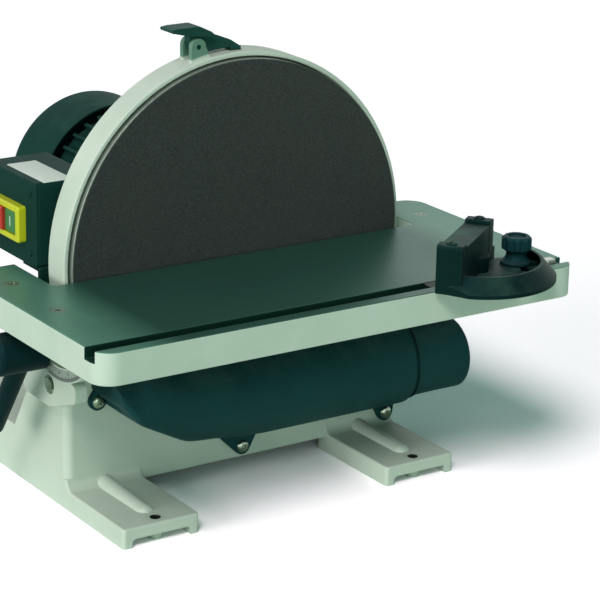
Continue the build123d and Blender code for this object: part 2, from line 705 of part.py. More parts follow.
def duct_body(inset, back_y):
    """Shroud body: the section drawn along the wall, trimmed to the disc's curve and to the port."""
    body = draw_x(duct_section(inset, back_y), COVER_LEFT_X + inset, COVER_HEEL_X - inset)
    mask = rod_y(COVER_ARC_R - inset, WALL_Y - 4 * DUCT_R, back_y, 0, AXIS_Z - COVER_ARC_DROP)
    mask += block(0, COVER_HEEL_X, WALL_Y - 4 * DUCT_R, back_y, 0, AXIS_Z)
    body &= mask
    nose = DUCT_Y - 2 * DUCT_R
    slant = (COVER_HEEL_X - COLLAR_X) / (WALL_Y - DUCT_Y + DUCT_R)
    nose_x = COVER_HEEL_X - slant * (WALL_Y - nose)
    body -= draw_z(outline([
        (nose_x - inset, nose), (COVER_HEEL_X - inset, back_y),
        (2 * COVER_HEEL_X, back_y), (2 * COVER_HEEL_X, nose),
    ]), 0, AXIS_Z)
    return body


def dust_cover():
    """Moulded shroud below the table: curved duct, tapered round port and three screw tabs."""
    body = duct_body(0.0, WALL_Y)
    body = fillet(body.edges().filter_by(GeomType.BSPLINE), COVER_EDGE_R)
    root_x = COLLAR_X - DUCT_R
    seat_x = PORT_END_X - PORT_SEAT
    taper = Cone(PORT_R + PORT_DRAFT, PORT_R, seat_x - root_x)
    body += Plane(origin=((root_x + seat_x) / 2, DUCT_Y, DUCT_Z), z_dir=(1, 0, 0)) * taper
    body += rod_x(PORT_R, seat_x, PORT_END_X, DUCT_Y, DUCT_Z)
    for (x, z), (fan_x, fan_z, fan_r) in zip(COVER_SCREWS, TAB_ROOTS):
        tab = Pos(x, z) * Circle(TAB_R)
        fan = Pos(fan_x, fan_z) * Circle(fan_r)
        body += draw_y(make_hull(tab.edges() + fan.edges()), WALL_Y - TAB_T, WALL_Y)
    body -= duct_body(COVER_T, WALL_Y + CUT)
    body -= rod_x(PORT_R - COVER_T, root_x, PORT_END_X + CUT, DUCT_Y, DUCT_Z)
    body -= rod_y(DISC_R + COVER_CLEAR, FACE_Y - COVER_CLEAR, WALL_Y + CUT)
    for x, z in COVER_SCREWS:
        body -= rod_y(PAN_HEAD_R + SIDE_GAP, WALL_Y - TAB_T - DUCT_R, WALL_Y - TAB_T, x, z)
        body -= rod_y(COVER_SCREW_R + SEAT, WALL_Y - TAB_T - CUT, WALL_Y + CUT, x, z)
    return body


def cover_screws():
    """Pan head screws that hold the cover."""
    return [
        pan_screw(
            Plane(origin=(x, WALL_Y - TAB_T, z), z_dir=(0, -1, 0)),
            COVER_SCREW_R, TAB_T + CAST_WALL, PAN_HEAD_R, PAN_HEAD_H,
        )
        for x, z in COVER_SCREWS
    ]


# Disc and motor
def hub_screw_y():
    """Middle of the hub, where the set screws sit."""
    return (DISC_BACK + HUB_END) / 2


def disc_plate():
    """Cast disc: flat face, dished back with a rim, hub bored for the shaft."""
    inner_rim = DISC_R - DISC_RIM_W
    plate = turned([
        (0, PAPER_BACK), (DISC_R, PAPER_BACK), (DISC_R, DISC_BACK), (inner_rim, DISC_BACK),
        (inner_rim - DISC_DISH, DISC_BACK - DISC_DISH), (HUB_R + 3 * DISC_DISH, DISC_BACK - DISC_DISH),
        (HUB_R, DISC_BACK), (HUB_R, HUB_END), (0, HUB_END),
    ])
    plate = fillet(plate.edges().group_by(Axis.Y)[0], PAPER_T / 2)
    plate -= rod_y(SHAFT_R + SEAT, PAPER_BACK + SHAFT_BLIND, HUB_END + CUT)
    for angle in (0, QUARTER):
        hole = rod_z(HUB_SCREW_R + SEAT, AXIS_Z, AXIS_Z + HUB_R + CUT, 0, hub_screw_y())
        plate -= hole.rotate(DISC_AXIS, angle)
    return plate


def hub_screws():
    """Two set screws that hold the hub on the shaft."""
    screw = rod_z(HUB_SCREW_R, AXIS_Z + SHAFT_R + SEAT, AXIS_Z + HUB_R - CUT, 0, hub_screw_y())
    screw -= rod_z(HUB_SCREW_R / 2, AXIS_Z + HUB_R - HUB_SCREW_R, AXIS_Z + HUB_R, 0, hub_screw_y())
    return [screw.rotate(DISC_AXIS, angle) for angle in (0, QUARTER)]


def motor_shaft():
    """Stepped motor shaft from the disc hub to the fan."""
    tip = PAPER_BACK + SHAFT_BLIND + SIDE_GAP
    front_step = FRONT_BEARING_Y + BEARING_W
    rear_step = REAR_BEARING_Y
    bearing_end = REAR_BEARING_Y + BEARING_W
    end = FAN_Y + FAN_LEN
    return turned([
        (0, tip), (SHAFT_R, tip), (SHAFT_R, FRONT_BEARING_Y), (JOURNAL_R, FRONT_BEARING_Y),
        (JOURNAL_R, front_step + SIDE_GAP), (ROTOR_SEAT_R, front_step + SIDE_GAP),
        (ROTOR_SEAT_R, rear_step - SIDE_GAP), (JOURNAL_R, rear_step - SIDE_GAP),
        (JOURNAL_R, bearing_end), (FAN_SEAT_R, bearing_end), (FAN_SEAT_R, end), (0, end),
    ])


def motor_bolt_places():
    """Motor bolts as (x, z), four on a circle."""
    reach = MOTOR_BOLT_CIRCLE_R * cos(radians(QUARTER / 2))
    return [(sx * reach, AXIS_Z + sz * reach) for sx in (-1, 1) for sz in (-1, 1)]


def motor_flange():
    """Front end of the motor: flange with spigot, cone and bearing seat."""
    bell = turned([
        (SHAFT_R + SHAFT_CLEAR, MOTOR_Y - SPIGOT_LEN), (SPIGOT_R, MOTOR_Y - SPIGOT_LEN), (SPIGOT_R, MOTOR_Y),
        (FLANGE_R, MOTOR_Y), (FLANGE_R, MOTOR_Y + FLANGE_T), (FRAME_R, FRAME_Y),
        (FRAME_BORE_R, FRAME_Y), (FRAME_BORE_R - BELL_WALL, MOTOR_Y + FLANGE_T),
        (BEARING_R + BELL_WALL, MOTOR_Y + FLANGE_T), (BEARING_R + BELL_WALL, FRONT_BEARING_Y + BEARING_W),
        (BEARING_R + SEAT, FRONT_BEARING_Y + BEARING_W), (BEARING_R + SEAT, FRONT_BEARING_Y),
        (SHAFT_R + SHAFT_CLEAR, FRONT_BEARING_Y),
    ])
    for x, z in motor_bolt_places():
        bell -= rod_y(MOTOR_BOLT_R + SEAT, MOTOR_Y - CUT, MOTOR_Y + MOTOR_BOLT_DEPTH + SIDE_GAP, x, z)
    return bell


def motor_bolts():
    """Bolts through the housing into the motor flange."""
    return [
        hex_bolt(
            Plane(origin=(x, HOUSING_Y, z), z_dir=(0, -1, 0)),
            MOTOR_BOLT_R, HOUSING_T + MOTOR_BOLT_DEPTH, MOTOR_BOLT_R * BOLT_HEAD_RATIO, MOTOR_BOLT_R,
        )
        for x, z in motor_bolt_places()
    ]


def motor_frame():
    """Finned motor frame."""
    frame = ring_y(FRAME_BORE_R, FRAME_R, FRAME_Y, FRAME_END)
    root = AXIS_Z + (FRAME_BORE_R + FRAME_R) / 2
    fin = block(-FIN_T / 2, FIN_T / 2, FRAME_Y, FRAME_END, root, AXIS_Z + FIN_TOP_R)
    return frame + around(fin, FIN_COUNT, 180.0 / FIN_COUNT)


def motor_end_bell():
    """Rear end of the motor with its bearing seat and the lugs that carry the fan cowl."""
    inner = FRAME_END + BELL_WALL
    bell = turned([
        (FAN_SEAT_R + SHAFT_CLEAR, BELL_END), (BEARING_R + BELL_WALL, BELL_END), (FRAME_R, inner),
        (FRAME_R, FRAME_END), (FRAME_BORE_R, FRAME_END), (FRAME_BORE_R - BELL_WALL, inner - BELL_WALL / 2),
        (BEARING_R + BELL_WALL, inner - BELL_WALL / 2), (BEARING_R + BELL_WALL, REAR_BEARING_Y),
        (BEARING_R + SEAT, REAR_BEARING_Y), (BEARING_R + SEAT, REAR_BEARING_Y + BEARING_W),
        (FAN_SEAT_R + SHAFT_CLEAR, REAR_BEARING_Y + BEARING_W),
    ])
    lug_top = AXIS_Z + COWL_R - COWL_T - SEAT
    lug = block(-LUG_W / 2, LUG_W / 2, FRAME_END, inner, AXIS_Z + FRAME_BORE_R, lug_top)
    lug &= rod_y(COWL_R - COWL_T - SEAT, FRAME_END, inner)
    lug -= cowl_screw_hole()
    return bell + around(lug, LUG_COUNT, LUG_ANGLE)


def cowl_screw_hole():
    """Hole of one cowl screw, at the top."""
    mid = FRAME_END + BELL_WALL / 2
    return rod_z(COWL_SCREW_R + SEAT, AXIS_Z + FRAME_R, AXIS_Z + COWL_R + CUT, 0, mid)


def fan_cowl():
    """Sheet fan cover with a rounded, slotted rear."""
    cup = rod_y(COWL_R, COWL_Y, COWL_END)
    cup = fillet(cup.edges().group_by(Axis.Y)[-1], COWL_EDGE_R)
    room = rod_y(COWL_R - COWL_T, COWL_Y - CUT, COWL_END - COWL_T)
    room = fillet(room.edges().group_by(Axis.Y)[-1], COWL_EDGE_R - COWL_T)
    cup -= room
    slot = draw_y(
        Pos(0, AXIS_Z + (COWL_SLOT_IN + COWL_SLOT_OUT) / 2)
        * SlotOverall(COWL_SLOT_OUT - COWL_SLOT_IN, COWL_SLOT_W, rotation=QUARTER),
        COWL_END - COWL_EDGE_R, COWL_END + CUT,
    )
    cup -= around(slot, COWL_SLOTS, 180.0 / COWL_SLOTS)
    cup -= around(cowl_screw_hole(), LUG_COUNT, LUG_ANGLE)
    return cup


def cowl_screws():
    """Screws of the fan cowl."""
    plane = Plane(origin=(0, FRAME_END + BELL_WALL / 2, AXIS_Z + COWL_R), z_dir=(0, 0, 1))
    screw = pan_screw(plane, COWL_SCREW_R, COWL_R - FRAME_R - CUT, 2 * COWL_SCREW_R, COWL_SCREW_R)
    return around(screw, LUG_COUNT, LUG_ANGLE)


def bearing(y0):
    """Ball bearing of the motor, sealed."""
    return ring_y(JOURNAL_R + RUN_FIT, BEARING_R, y0, y0 + BEARING_W)


def stator_core():
    """Laminated stator."""
    return ring_y(ROTOR_R + AIR_GAP, FRAME_BORE_R - SEAT, STACK_Y, STACK_Y + STACK_LEN)


def stator_windings():
    """End turns of the winding at both ends of the stator."""
    r_in = ROTOR_R + AIR_GAP + WINDING_INSET
    r_out = FRAME_BORE_R - 2 * WINDING_INSET
    front = ring_y(r_in, r_out, STACK_Y - WINDING_LEN, STACK_Y)
    back = ring_y(r_in, r_out, STACK_Y + STACK_LEN, STACK_Y + STACK_LEN + WINDING_LEN)
    return [fillet(turn.edges(), WINDING_INSET) for turn in (front, back)]


def rotor_core():
    """Rotor stack with its end rings."""
    over = WINDING_INSET
    return ring_y(ROTOR_SEAT_R + SEAT, ROTOR_R, STACK_Y - over, STACK_Y + STACK_LEN + over)


def cooling_fan():
    """Radial fan on the end of the shaft."""
    plate_r = FAN_R * FAN_PLATE_RATIO
    fan = turned([
        (FAN_SEAT_R + SEAT, FAN_Y), (plate_r, FAN_Y), (plate_r, FAN_Y + FAN_T),
        (FAN_HUB_R, FAN_Y + FAN_T), (FAN_HUB_R, FAN_Y + FAN_LEN), (FAN_SEAT_R + SEAT, FAN_Y + FAN_LEN),
    ])
    root = AXIS_Z + FAN_HUB_R - CUT
    blade = block(-FAN_T / 2, FAN_T / 2, FAN_Y, FAN_Y + FAN_LEN, root, AXIS_Z + FAN_R)
    return fan + around(blade, FAN_BLADES)


# Table, trunnions and locks
def table_screw_places():
    """Countersunk screws of the table as (x, y)."""
    return [(side * TABLE_SCREW_X, PIVOT_Y + y) for side in (-1, 1) for y in TABLE_SCREW_YS]


def table_screw(x, y, slack):
    """One countersunk screw, or with slack the hole for it."""
    head_h = TABLE_SCREW_HEAD_R - TABLE_SCREW_R
    bottom = TABLE_UNDER - TRUNNION_FLANGE_T
    head = Cone(TABLE_SCREW_R + slack, TABLE_SCREW_HEAD_R + slack, head_h)
    head = Pos(x, y, TABLE_TOP - head_h / 2) * head
    return head + rod_z(TABLE_SCREW_R + slack, bottom - slack, TABLE_TOP - head_h, x, y)


def table_top():
    """Cast table: plate with skirts, notch for the disc, mitre slot over a rib."""
    plan = outline([
        (-TABLE_X, TABLE_FRONT), (TABLE_X, TABLE_FRONT), (TABLE_X, TABLE_BACK), (NOTCH_X, TABLE_BACK),
        (NOTCH_X, NOTCH_Y), (-NOTCH_X, NOTCH_Y), (-NOTCH_X, TABLE_BACK), (-TABLE_X, TABLE_BACK),
    ])
    corners = plan.vertices().group_by(Axis.X)
    outer = corners[0] + corners[-1]
    plan = fillet(outer.group_by(Axis.Y)[0], TABLE_FRONT_R)
    corners = plan.vertices().group_by(Axis.X)
    backs = (corners[0] + corners[-1]).group_by(Axis.Y)[-1]
    plan = fillet(backs, TABLE_BACK_R)
    notch = [v for v in plan.vertices() if abs(v.Y - NOTCH_Y) < SEAT]
    plan = fillet(notch, NOTCH_R)
    table = draw_z(plan, SKIRT_BOTTOM, TABLE_TOP)
    table = fillet(table.faces().sort_by(Axis.Z)[-1].edges(), TABLE_EDGE_R)
    inner = TABLE_X - SKIRT_T
    pocket = rounded([
        (-inner, TABLE_FRONT + SKIRT_T), (inner, TABLE_FRONT + SKIRT_T),
        (inner, TABLE_BACK - SKIRT_T), (-inner, TABLE_BACK - SKIRT_T),
    ], SKIRT_T)
    table -= draw_z(pocket, SKIRT_BOTTOM - CUT, TABLE_UNDER)
    rib_x = TABLE_X - SKIRT_T / 2
    rib = block(
        -rib_x, rib_x, SLOT_Y - SLOT_RIB_W / 2, SLOT_Y + SLOT_RIB_W / 2,
        TABLE_UNDER - SLOT_RIB_H, TABLE_UNDER,
    )
    table += rib & draw_z(plan, TABLE_UNDER - SLOT_RIB_H, TABLE_UNDER)
    for x in (-TABLE_RIB_SPACE, 0.0, TABLE_RIB_SPACE):
        table += block(
            x - TABLE_RIB_T / 2, x + TABLE_RIB_T / 2, SLOT_Y, NOTCH_Y - TABLE_RIB_T,
            TABLE_UNDER - TABLE_RIB_H, TABLE_UNDER,
        )
    table -= block(
        -TABLE_X - CUT, TABLE_X + CUT, SLOT_Y - MITRE_SLOT_W / 2, SLOT_Y + MITRE_SLOT_W / 2,
        TABLE_TOP - MITRE_SLOT_D, TABLE_TOP + CUT,
    )
    for x, y in table_screw_places():
        table -= table_screw(x, y, SEAT)
    return table


def table_screws():
    """Countersunk screws that hold the table on its trunnions, with a cross slot."""
    screws = []
    for x, y in table_screw_places():
        screw = table_screw(x, y, 0.0)
        screw -= Pos(x, y, TABLE_TOP) * Box(TABLE_SCREW_HEAD_R, SLOT_W, 2 * SLOT_DEPTH)
        screw -= Pos(x, y, TABLE_TOP) * Box(SLOT_W, TABLE_SCREW_HEAD_R, 2 * SLOT_DEPTH)
        screws.append(screw)
    return screws


def trunnion_right():
    """Half-moon trunnion with the curved slot and the flange under the table."""
    moon = rod_x(TRUNNION_R, TRUNNION_IN_X, TRUNNION_OUT_X, PIVOT_Y, PIVOT_Z)
    moon &= block(0, TABLE_X, PIVOT_Y - 2 * TRUNNION_R, PIVOT_Y + 2 * TRUNNION_R, 0, TABLE_UNDER)
    flange = block(
        TRUNNION_IN_X, TRUNNION_FLANGE_X, PIVOT_Y + TRUNNION_FLANGE_FRONT, PIVOT_Y + TRUNNION_FLANGE_BACK,
        TABLE_UNDER - TRUNNION_FLANGE_T, TABLE_UNDER,
    )
    flange = fillet(flange.edges().filter_by(Axis.Z).group_by(Axis.X)[-1], TRUNNION_FLANGE_T)
    piece = moon + flange
    spread = GUIDE_ANGLE - STUD_ANGLE + TILT_MAX_ANGLE
    centre = CenterArc((PIVOT_Y, PIVOT_Z), ARC_R, STUD_ANGLE - TILT_MAX_ANGLE, spread)
    slot = SlotArc(centre, 2 * (STUD_R + STUD_SLACK))
    piece -= draw_x(slot, TRUNNION_IN_X - CUT, TRUNNION_OUT_X + CUT)
    for x, y in table_screw_places():
        piece -= table_screw(x, y, SEAT)
    return piece


def tilt_scale():
    """Thin scale band on the outer face of the left trunnion."""
    x1 = -TRUNNION_OUT_X
    band = rod_x(SCALE_OUT_R, x1 - SCALE_T, x1, PIVOT_Y, PIVOT_Z)
    band -= rod_x(SCALE_IN_R, x1 - SCALE_T, x1, PIVOT_Y, PIVOT_Z)
    reach = 2 * SCALE_OUT_R
    ends = [SCALE_FROM_ANGLE + SCALE_SPAN_ANGLE * k / 2 for k in range(3)]
    wedge = outline([(PIVOT_Y, PIVOT_Z)] + [
        (PIVOT_Y + reach * cos(radians(a)), PIVOT_Z + reach * sin(radians(a))) for a in ends
    ])
    return band & draw_x(wedge, x1 - SCALE_T, x1)


def bracket_bolt_places():
    """Bolts of a bracket as (y, z)."""
    return [(PIVOT_Y + y, PIVOT_Z + z) for y, z in BRACKET_BOLTS]


def bracket():
    """Bracket on the pillar's side that carries the stud and the guide pin of the trunnion."""
    shape = rounded([(PIVOT_Y + y, PIVOT_Z + z) for y, z in BRACKET_OUTLINE], BRACKET_CORNER_R)
    shape += Pos(STUD_Y, STUD_Z) * Circle(STUD_BOSS_R)
    shape += Pos(GUIDE_Y, GUIDE_Z) * Circle(STUD_BOSS_R)
    piece = draw_x(shape, HALF_W, BRACKET_OUT_X)
    piece = fillet(piece.faces().sort_by(Axis.X)[-1].edges(), BRACKET_FACE_GAP)
    for y, z in ((STUD_Y, STUD_Z), (GUIDE_Y, GUIDE_Z)):
        piece -= rod_x(STUD_R + SEAT, HALF_W - CUT, BRACKET_OUT_X + CUT, y, z)
    for y, z in bracket_bolt_places():
        piece -= rod_x(BRACKET_BOLT_R + SEAT, HALF_W - CUT, BRACKET_OUT_X + CUT, y, z)
        piece -= rod_x(BRACKET_SPOT_R, BRACKET_OUT_X - BRACKET_SPOT_D, BRACKET_OUT_X + CUT, y, z)
    return piece


def bracket_right():
    """Right bracket, cut away round the dust port."""
    port = rod_x(PORT_R + COVER_CLEAR, HALF_W - CUT, BRACKET_OUT_X + CUT, DUCT_Y, DUCT_Z)
    return bracket() - port


def trunnion_bolts():
    """Hexagon bolts, sunk in spot faces, that hold the brackets on the pillars."""
    seat_x = BRACKET_OUT_X - BRACKET_SPOT_D
    bolts = [
        hex_bolt(
            Plane(origin=(seat_x, y, z), z_dir=(1, 0, 0)),
            BRACKET_BOLT_R, seat_x - HALF_W + CAST_WALL, BRACKET_HEAD_R, BRACKET_HEAD_H,
        )
        for y, z in bracket_bolt_places()
    ]
    return bolts + [mirrored(bolt) for bolt in bolts]


def lock_studs():
    """Threaded studs that the lock levers turn on."""
    stud = rod_x(STUD_R, HALF_W + SIDE_GAP, LEVER_END_X - STUD_COVER - SIDE_GAP, STUD_Y, STUD_Z)
    return [mirrored(stud), stud]


def guide_pins():
    """Second pins in the curved slots, which keep the table on its arc."""
    pin = rod_x(STUD_R, HALF_W + SIDE_GAP, TRUNNION_OUT_X, GUIDE_Y, GUIDE_Z)
    return [mirrored(pin), pin]


def lock_washers():
    """Washers between the trunnions and the lock levers."""
    washer = rod_x(WASHER_R, WASHER_X, WASHER_X + WASHER_T, STUD_Y, STUD_Z)
    washer -= rod_x(STUD_R + SEAT, WASHER_X - CUT, LEVER_X, STUD_Y, STUD_Z)
    return [mirrored(washer), washer]


def lock_lever():
    """Lock lever of the right side: round hub and a tapered grip."""
    hub = rod_x(LEVER_HUB_R, LEVER_X, LEVER_END_X, STUD_Y, STUD_Z)
    hub = fillet(hub.edges().group_by(Axis.X)[-1], LEVER_HUB_R / 4)
    root = Vector(LEVER_X + LEVER_ARM_OUT, STUD_Y, STUD_Z)
    way = Vector(0, cos(radians(LEVER_ANGLE)), sin(radians(LEVER_ANGLE)))
    shaft_len = LEVER_LEN - LEVER_END_R
    grip = Pos(0, 0, shaft_len / 2) * Cone(LEVER_ROOT_R, LEVER_END_R, shaft_len)
    grip += Pos(0, 0, shaft_len) * Sphere(LEVER_END_R)
    lever = hub + Plane(origin=root, z_dir=way) * grip
    return lever - rod_x(STUD_R + RUN_FIT, LEVER_X - CUT, LEVER_END_X - STUD_COVER, STUD_Y, STUD_Z)


# Mitre gauge
def mitre_bar():
    """Bar that slides in the table slot, with the pivot and clamp holes."""
    half = MITRE_SLOT_W / 2 - BAR_SIDE_GAP
    bar = block(BAR_LEFT, BAR_RIGHT, SLOT_Y - half, SLOT_Y + half, BAR_BOTTOM, BAR_TOP)
    bar = chamfer(bar.edges().filter_by(Axis.Z), half / 3)
    bar -= rod_z(PIVOT_PIN_R + SEAT, BAR_BOTTOM - CUT, BAR_TOP + CUT, MITRE_X, SLOT_Y)
    bar -= rod_z(KNOB_STUD_R + RUN_FIT, BAR_BOTTOM - CUT, BAR_TOP + CUT, KNOB_X, SLOT_Y)
    return bar


def in_head(shape):
    """Place a shape drawn about the gauge's pivot: local +X along the fence, +Y to the disc side."""
    return Pos(MITRE_X, SLOT_Y, 0) * Rot(0, 0, FENCE_ANGLE) * shape


def sector_end(radius, side):
    """End of the sector's rim, on the front (-1) or rear (1) side of the gauge."""
    half = radians(SECTOR_FRONT_ANGLE if side < 0 else SECTOR_REAR_ANGLE)
    return side * radius * sin(half), -radius * cos(half)


def sector_plan(radius):
    """Plan of the sector: an arc joined by straight edges to the ends of the fence."""
    fence_y = FENCE_OFFSET - FENCE_T / 2
    reach = 2 * radius
    sides = outline([
        (-FENCE_FRONT, fence_y), sector_end(radius, -1), sector_end(reach, -1), (-reach, -reach),
        (reach, -reach), sector_end(reach, 1), sector_end(radius, 1), (FENCE_REAR, fence_y),
    ])
    return Circle(radius) & sides


def sector_well():
    """Room inside the sector's rim: closed by a wall in front, open at the rear end."""
    fence_y = FENCE_OFFSET - FENCE_T
    end_x, end_y = sector_end(SECTOR_R, -1)
    reach = 2 * SECTOR_R
    plan = outline([
        (SECTOR_WALL - FENCE_FRONT, fence_y), (end_x + SECTOR_WALL, end_y), (-reach, -reach),
        (reach, -reach), (reach, fence_y),
    ])
    slope = (SECTOR_R - SECTOR_TOP_R) / (SECTOR_H - SECTOR_EDGE_H)
    depth = SECTOR_H - SECTOR_FLOOR + CUT
    top_r = SECTOR_TOP_R - SECTOR_WALL - slope * CUT
    room = Pos(0, 0, FLOOR_Z + depth / 2) * Cone(top_r + slope * depth, top_r, depth)
    return room & draw_z(plan, FLOOR_Z, FLOOR_Z + depth)


def fence_block():
    """Fence: two posts with a lower middle between them, parted by slits."""
    back = FENCE_OFFSET
    front = FENCE_OFFSET - FENCE_T
    top = HEAD_Z + FENCE_H
    step = top - FENCE_STEP
    inner_rear = FENCE_REAR - FENCE_POST
    inner_front = FENCE_POST - FENCE_FRONT
    wall = draw_y(outline([
        (-FENCE_FRONT, HEAD_Z), (FENCE_REAR, HEAD_Z), (FENCE_REAR, top), (inner_rear, top),
        (inner_rear, step), (inner_front, step), (inner_front, top), (-FENCE_FRONT, top),
    ]), front, back)
    wall = fillet(wall.edges().filter_by(Axis.Y).group_by(Axis.Z)[-1], FENCE_SLIT)
    for x in (inner_rear, inner_front):
        wall -= block(
            x - FENCE_SLIT / 2, x + FENCE_SLIT / 2, front - CUT, back - FENCE_SLIT, HEAD_Z + SECTOR_H, top,
        )
    return wall


def mitre_head():
    """Protractor head: bevelled sector rim with a clamp slot, and the fence block."""
    plan = sector_plan(SECTOR_R)
    rim = draw_z(plan, HEAD_Z, HEAD_Z + SECTOR_EDGE_H)
    cone_h = SECTOR_H - SECTOR_EDGE_H
    cone = Pos(0, 0, HEAD_Z + SECTOR_EDGE_H + cone_h / 2) * Cone(SECTOR_R, SECTOR_TOP_R, cone_h)
    head = rim + (cone & draw_z(plan, HEAD_Z, HEAD_Z + SECTOR_H)) - sector_well()
    head += fence_block()
    head += rod_z(PIVOT_HUB_R, HEAD_Z, HEAD_Z + PIVOT_DEPTH + SECTOR_WALL, 0, 0)
    head -= rod_z(PIVOT_PIN_R + RUN_FIT, HEAD_Z - CUT, HEAD_Z + PIVOT_DEPTH, 0, 0)
    centre = CenterArc((0, 0), CLAMP_R, -QUARTER - CLAMP_HALF_ANGLE, 2 * CLAMP_HALF_ANGLE)
    head -= draw_z(SlotArc(centre, CLAMP_SLOT_W), HEAD_Z - CUT, FLOOR_Z + CUT)
    for x, y, z in fence_screw_places():
        head -= rod_z(SMALL_SCREW_R + SEAT, z - 2 * FENCE_SCREW_LEN, z + CUT, x, y)
    return in_head(head)


def fence_screw_places():
    """Screws in the tops of the fence posts, in the head's own frame."""
    xs = (FENCE_POST / 2 - FENCE_FRONT, FENCE_REAR - FENCE_POST / 2)
    return [(x, FENCE_OFFSET - FENCE_T / 2, HEAD_Z + FENCE_H) for x in xs]


def fence_screws():
    """Slotted screws in the fence posts."""
    return [
        in_head(pan_screw(
            Plane(origin=place), SMALL_SCREW_R, FENCE_SCREW_LEN, FENCE_SCREW_HEAD_R, FENCE_SCREW_HEAD_H,
        ))
        for place in fence_screw_places()
    ]


def pivot_pin():
    """Pivot pin of the gauge, pressed into the bar."""
    return rod_z(PIVOT_PIN_R, BAR_BOTTOM, HEAD_Z + PIVOT_DEPTH - SIDE_GAP, MITRE_X, SLOT_Y)


def mitre_knob():
    """Turned knob with a fluted top."""
    top = KNOB_Z + KNOB_H
    collar = KNOB_Z + KNOB_COLLAR_H
    crown = KNOB_Z + KNOB_CROWN_H
    lip = KNOB_Z + KNOB_LIP
    profile = make_face([
        Line((0, KNOB_Z), (KNOB_BASE_R, KNOB_Z)),
        Line((KNOB_BASE_R, KNOB_Z), (KNOB_BASE_R, lip)),
        ThreePointArc((KNOB_BASE_R, lip), (KNOB_WAIST_R, KNOB_Z + KNOB_WAIST_H), (KNOB_NECK_R, collar)),
        Line((KNOB_NECK_R, collar), (KNOB_TOP_R, crown)),
        Line((KNOB_TOP_R, crown), (KNOB_TOP_R, top - KNOB_LIP)),
        Line((KNOB_TOP_R, top - KNOB_LIP), (KNOB_TOP_R - KNOB_LIP, top)),
        Line((KNOB_TOP_R - KNOB_LIP, top), (0, top)),
        Line((0, top), (0, KNOB_Z)),
    ])
    knob = revolve(Plane.XZ * profile, axis=Axis.Z)
    flute = rod_z(KNOB_FLUTE_R, KNOB_Z + KNOB_FLUTE_H, top + CUT, KNOB_TOP_R + KNOB_FLUTE_R / 2, 0)
    for k in range(KNOB_FLUTES):
        knob -= flute.rotate(Axis.Z, 360.0 * k / KNOB_FLUTES)
    knob -= rod_z(KNOB_DISH_R, top - KNOB_DISH_D, top + CUT, 0, 0)
    knob -= rod_z(KNOB_STUD_R + SEAT, KNOB_Z - CUT, KNOB_Z + KNOB_STUD_DEPTH, 0, 0)
    return Pos(KNOB_X, SLOT_Y, 0) * knob


def knob_stud():
    """Threaded stud of the knob, through the clamp slot into the bar."""
    return rod_z(KNOB_STUD_R, BAR_BOTTOM, KNOB_Z + KNOB_STUD_DEPTH, KNOB_X, SLOT_Y)


def mitre_pointer():
    """Small pointer on the end of the bar, in front of the sector's rim."""
    x0 = MITRE_X + SECTOR_R + SIDE_GAP
    x1 = BAR_RIGHT - MITRE_POINTER_SET
    y0 = SLOT_Y - MITRE_POINTER_W / 2
    y1 = SLOT_Y + MITRE_POINTER_W / 2
    under = HEAD_Z + MITRE_POINTER_LIFT
    piece = block(x0 + MITRE_POINTER_SET, x1, y0, y1, BAR_TOP, under)
    tip = outline([(x0, SLOT_Y), (x0 + MITRE_POINTER_W, y0), (x1, y0), (x1, y1), (x0 + MITRE_POINTER_W, y1)])
    return piece + draw_z(tip, under, under + MITRE_POINTER_T)


# Switch unit
def plate_screw_places():
    """Screws of the switch plate as (y, z)."""
    ys = (SWITCH_Y + PLATE_SCREW_INSET, SWITCH_BACK - PLATE_SCREW_INSET)
    zs = (SWITCH_BOTTOM + PLATE_SCREW_INSET, SWITCH_TOP - PLATE_SCREW_INSET)
    return [(y, z) for y in ys for z in zs]


def switch_box():
    """Box on the housing's back, open to the left, with posts for the plate screws."""
    box = block(PLATE_IN, SWITCH_RIGHT, SWITCH_Y, SWITCH_BACK, SWITCH_BOTTOM, SWITCH_TOP)
    box = fillet(box.edges().filter_by(Axis.X), SWITCH_EDGE_R)
    wall = SWITCH_WALL
    box -= block(
        PLATE_IN - CUT, SWITCH_RIGHT - wall, SWITCH_Y + wall, SWITCH_BACK - wall,
        SWITCH_BOTTOM + wall, SWITCH_TOP - wall,
    )
    for y, z in plate_screw_places():
        box += rod_x(PLATE_POST_R, PLATE_IN, SWITCH_RIGHT - wall / 2, y, z)
        box -= rod_x(PLATE_SCREW_R + SEAT, PLATE_IN - CUT, SWITCH_LEFT + PLATE_SCREW_LEN + CUT, y, z)
    gland_x, gland_z = gland_place()
    box -= rod_y(GLAND_NECK_R + SEAT, SWITCH_BACK - wall - CUT, SWITCH_BACK + CUT, gland_x, gland_z)
    for x in strap_box_screws():
        box -= rod_z(SMALL_SCREW_R + SEAT, SWITCH_BOTTOM - CUT, SWITCH_BOTTOM + wall + CUT, x, STRAP_SCREW_Y)
    return box


def switch_plate():
    """Plate that closes the switch box, cut out for the switch."""
    plate = block(SWITCH_LEFT, PLATE_IN, SWITCH_Y, SWITCH_BACK, SWITCH_BOTTOM, SWITCH_TOP)
    plate = fillet(plate.edges().filter_by(Axis.X), SWITCH_EDGE_R)
    y0, y1, z0, z1 = bezel_box()
    rim = BEZEL_RIM
    plate -= block(SWITCH_LEFT - CUT, PLATE_IN + CUT, y0 + rim, y1 - rim, z0 + rim, z1 - rim)
    for y, z in plate_screw_places():
        plate -= rod_x(PLATE_SCREW_R + SEAT, SWITCH_LEFT - CUT, PLATE_IN + CUT, y, z)
    return plate


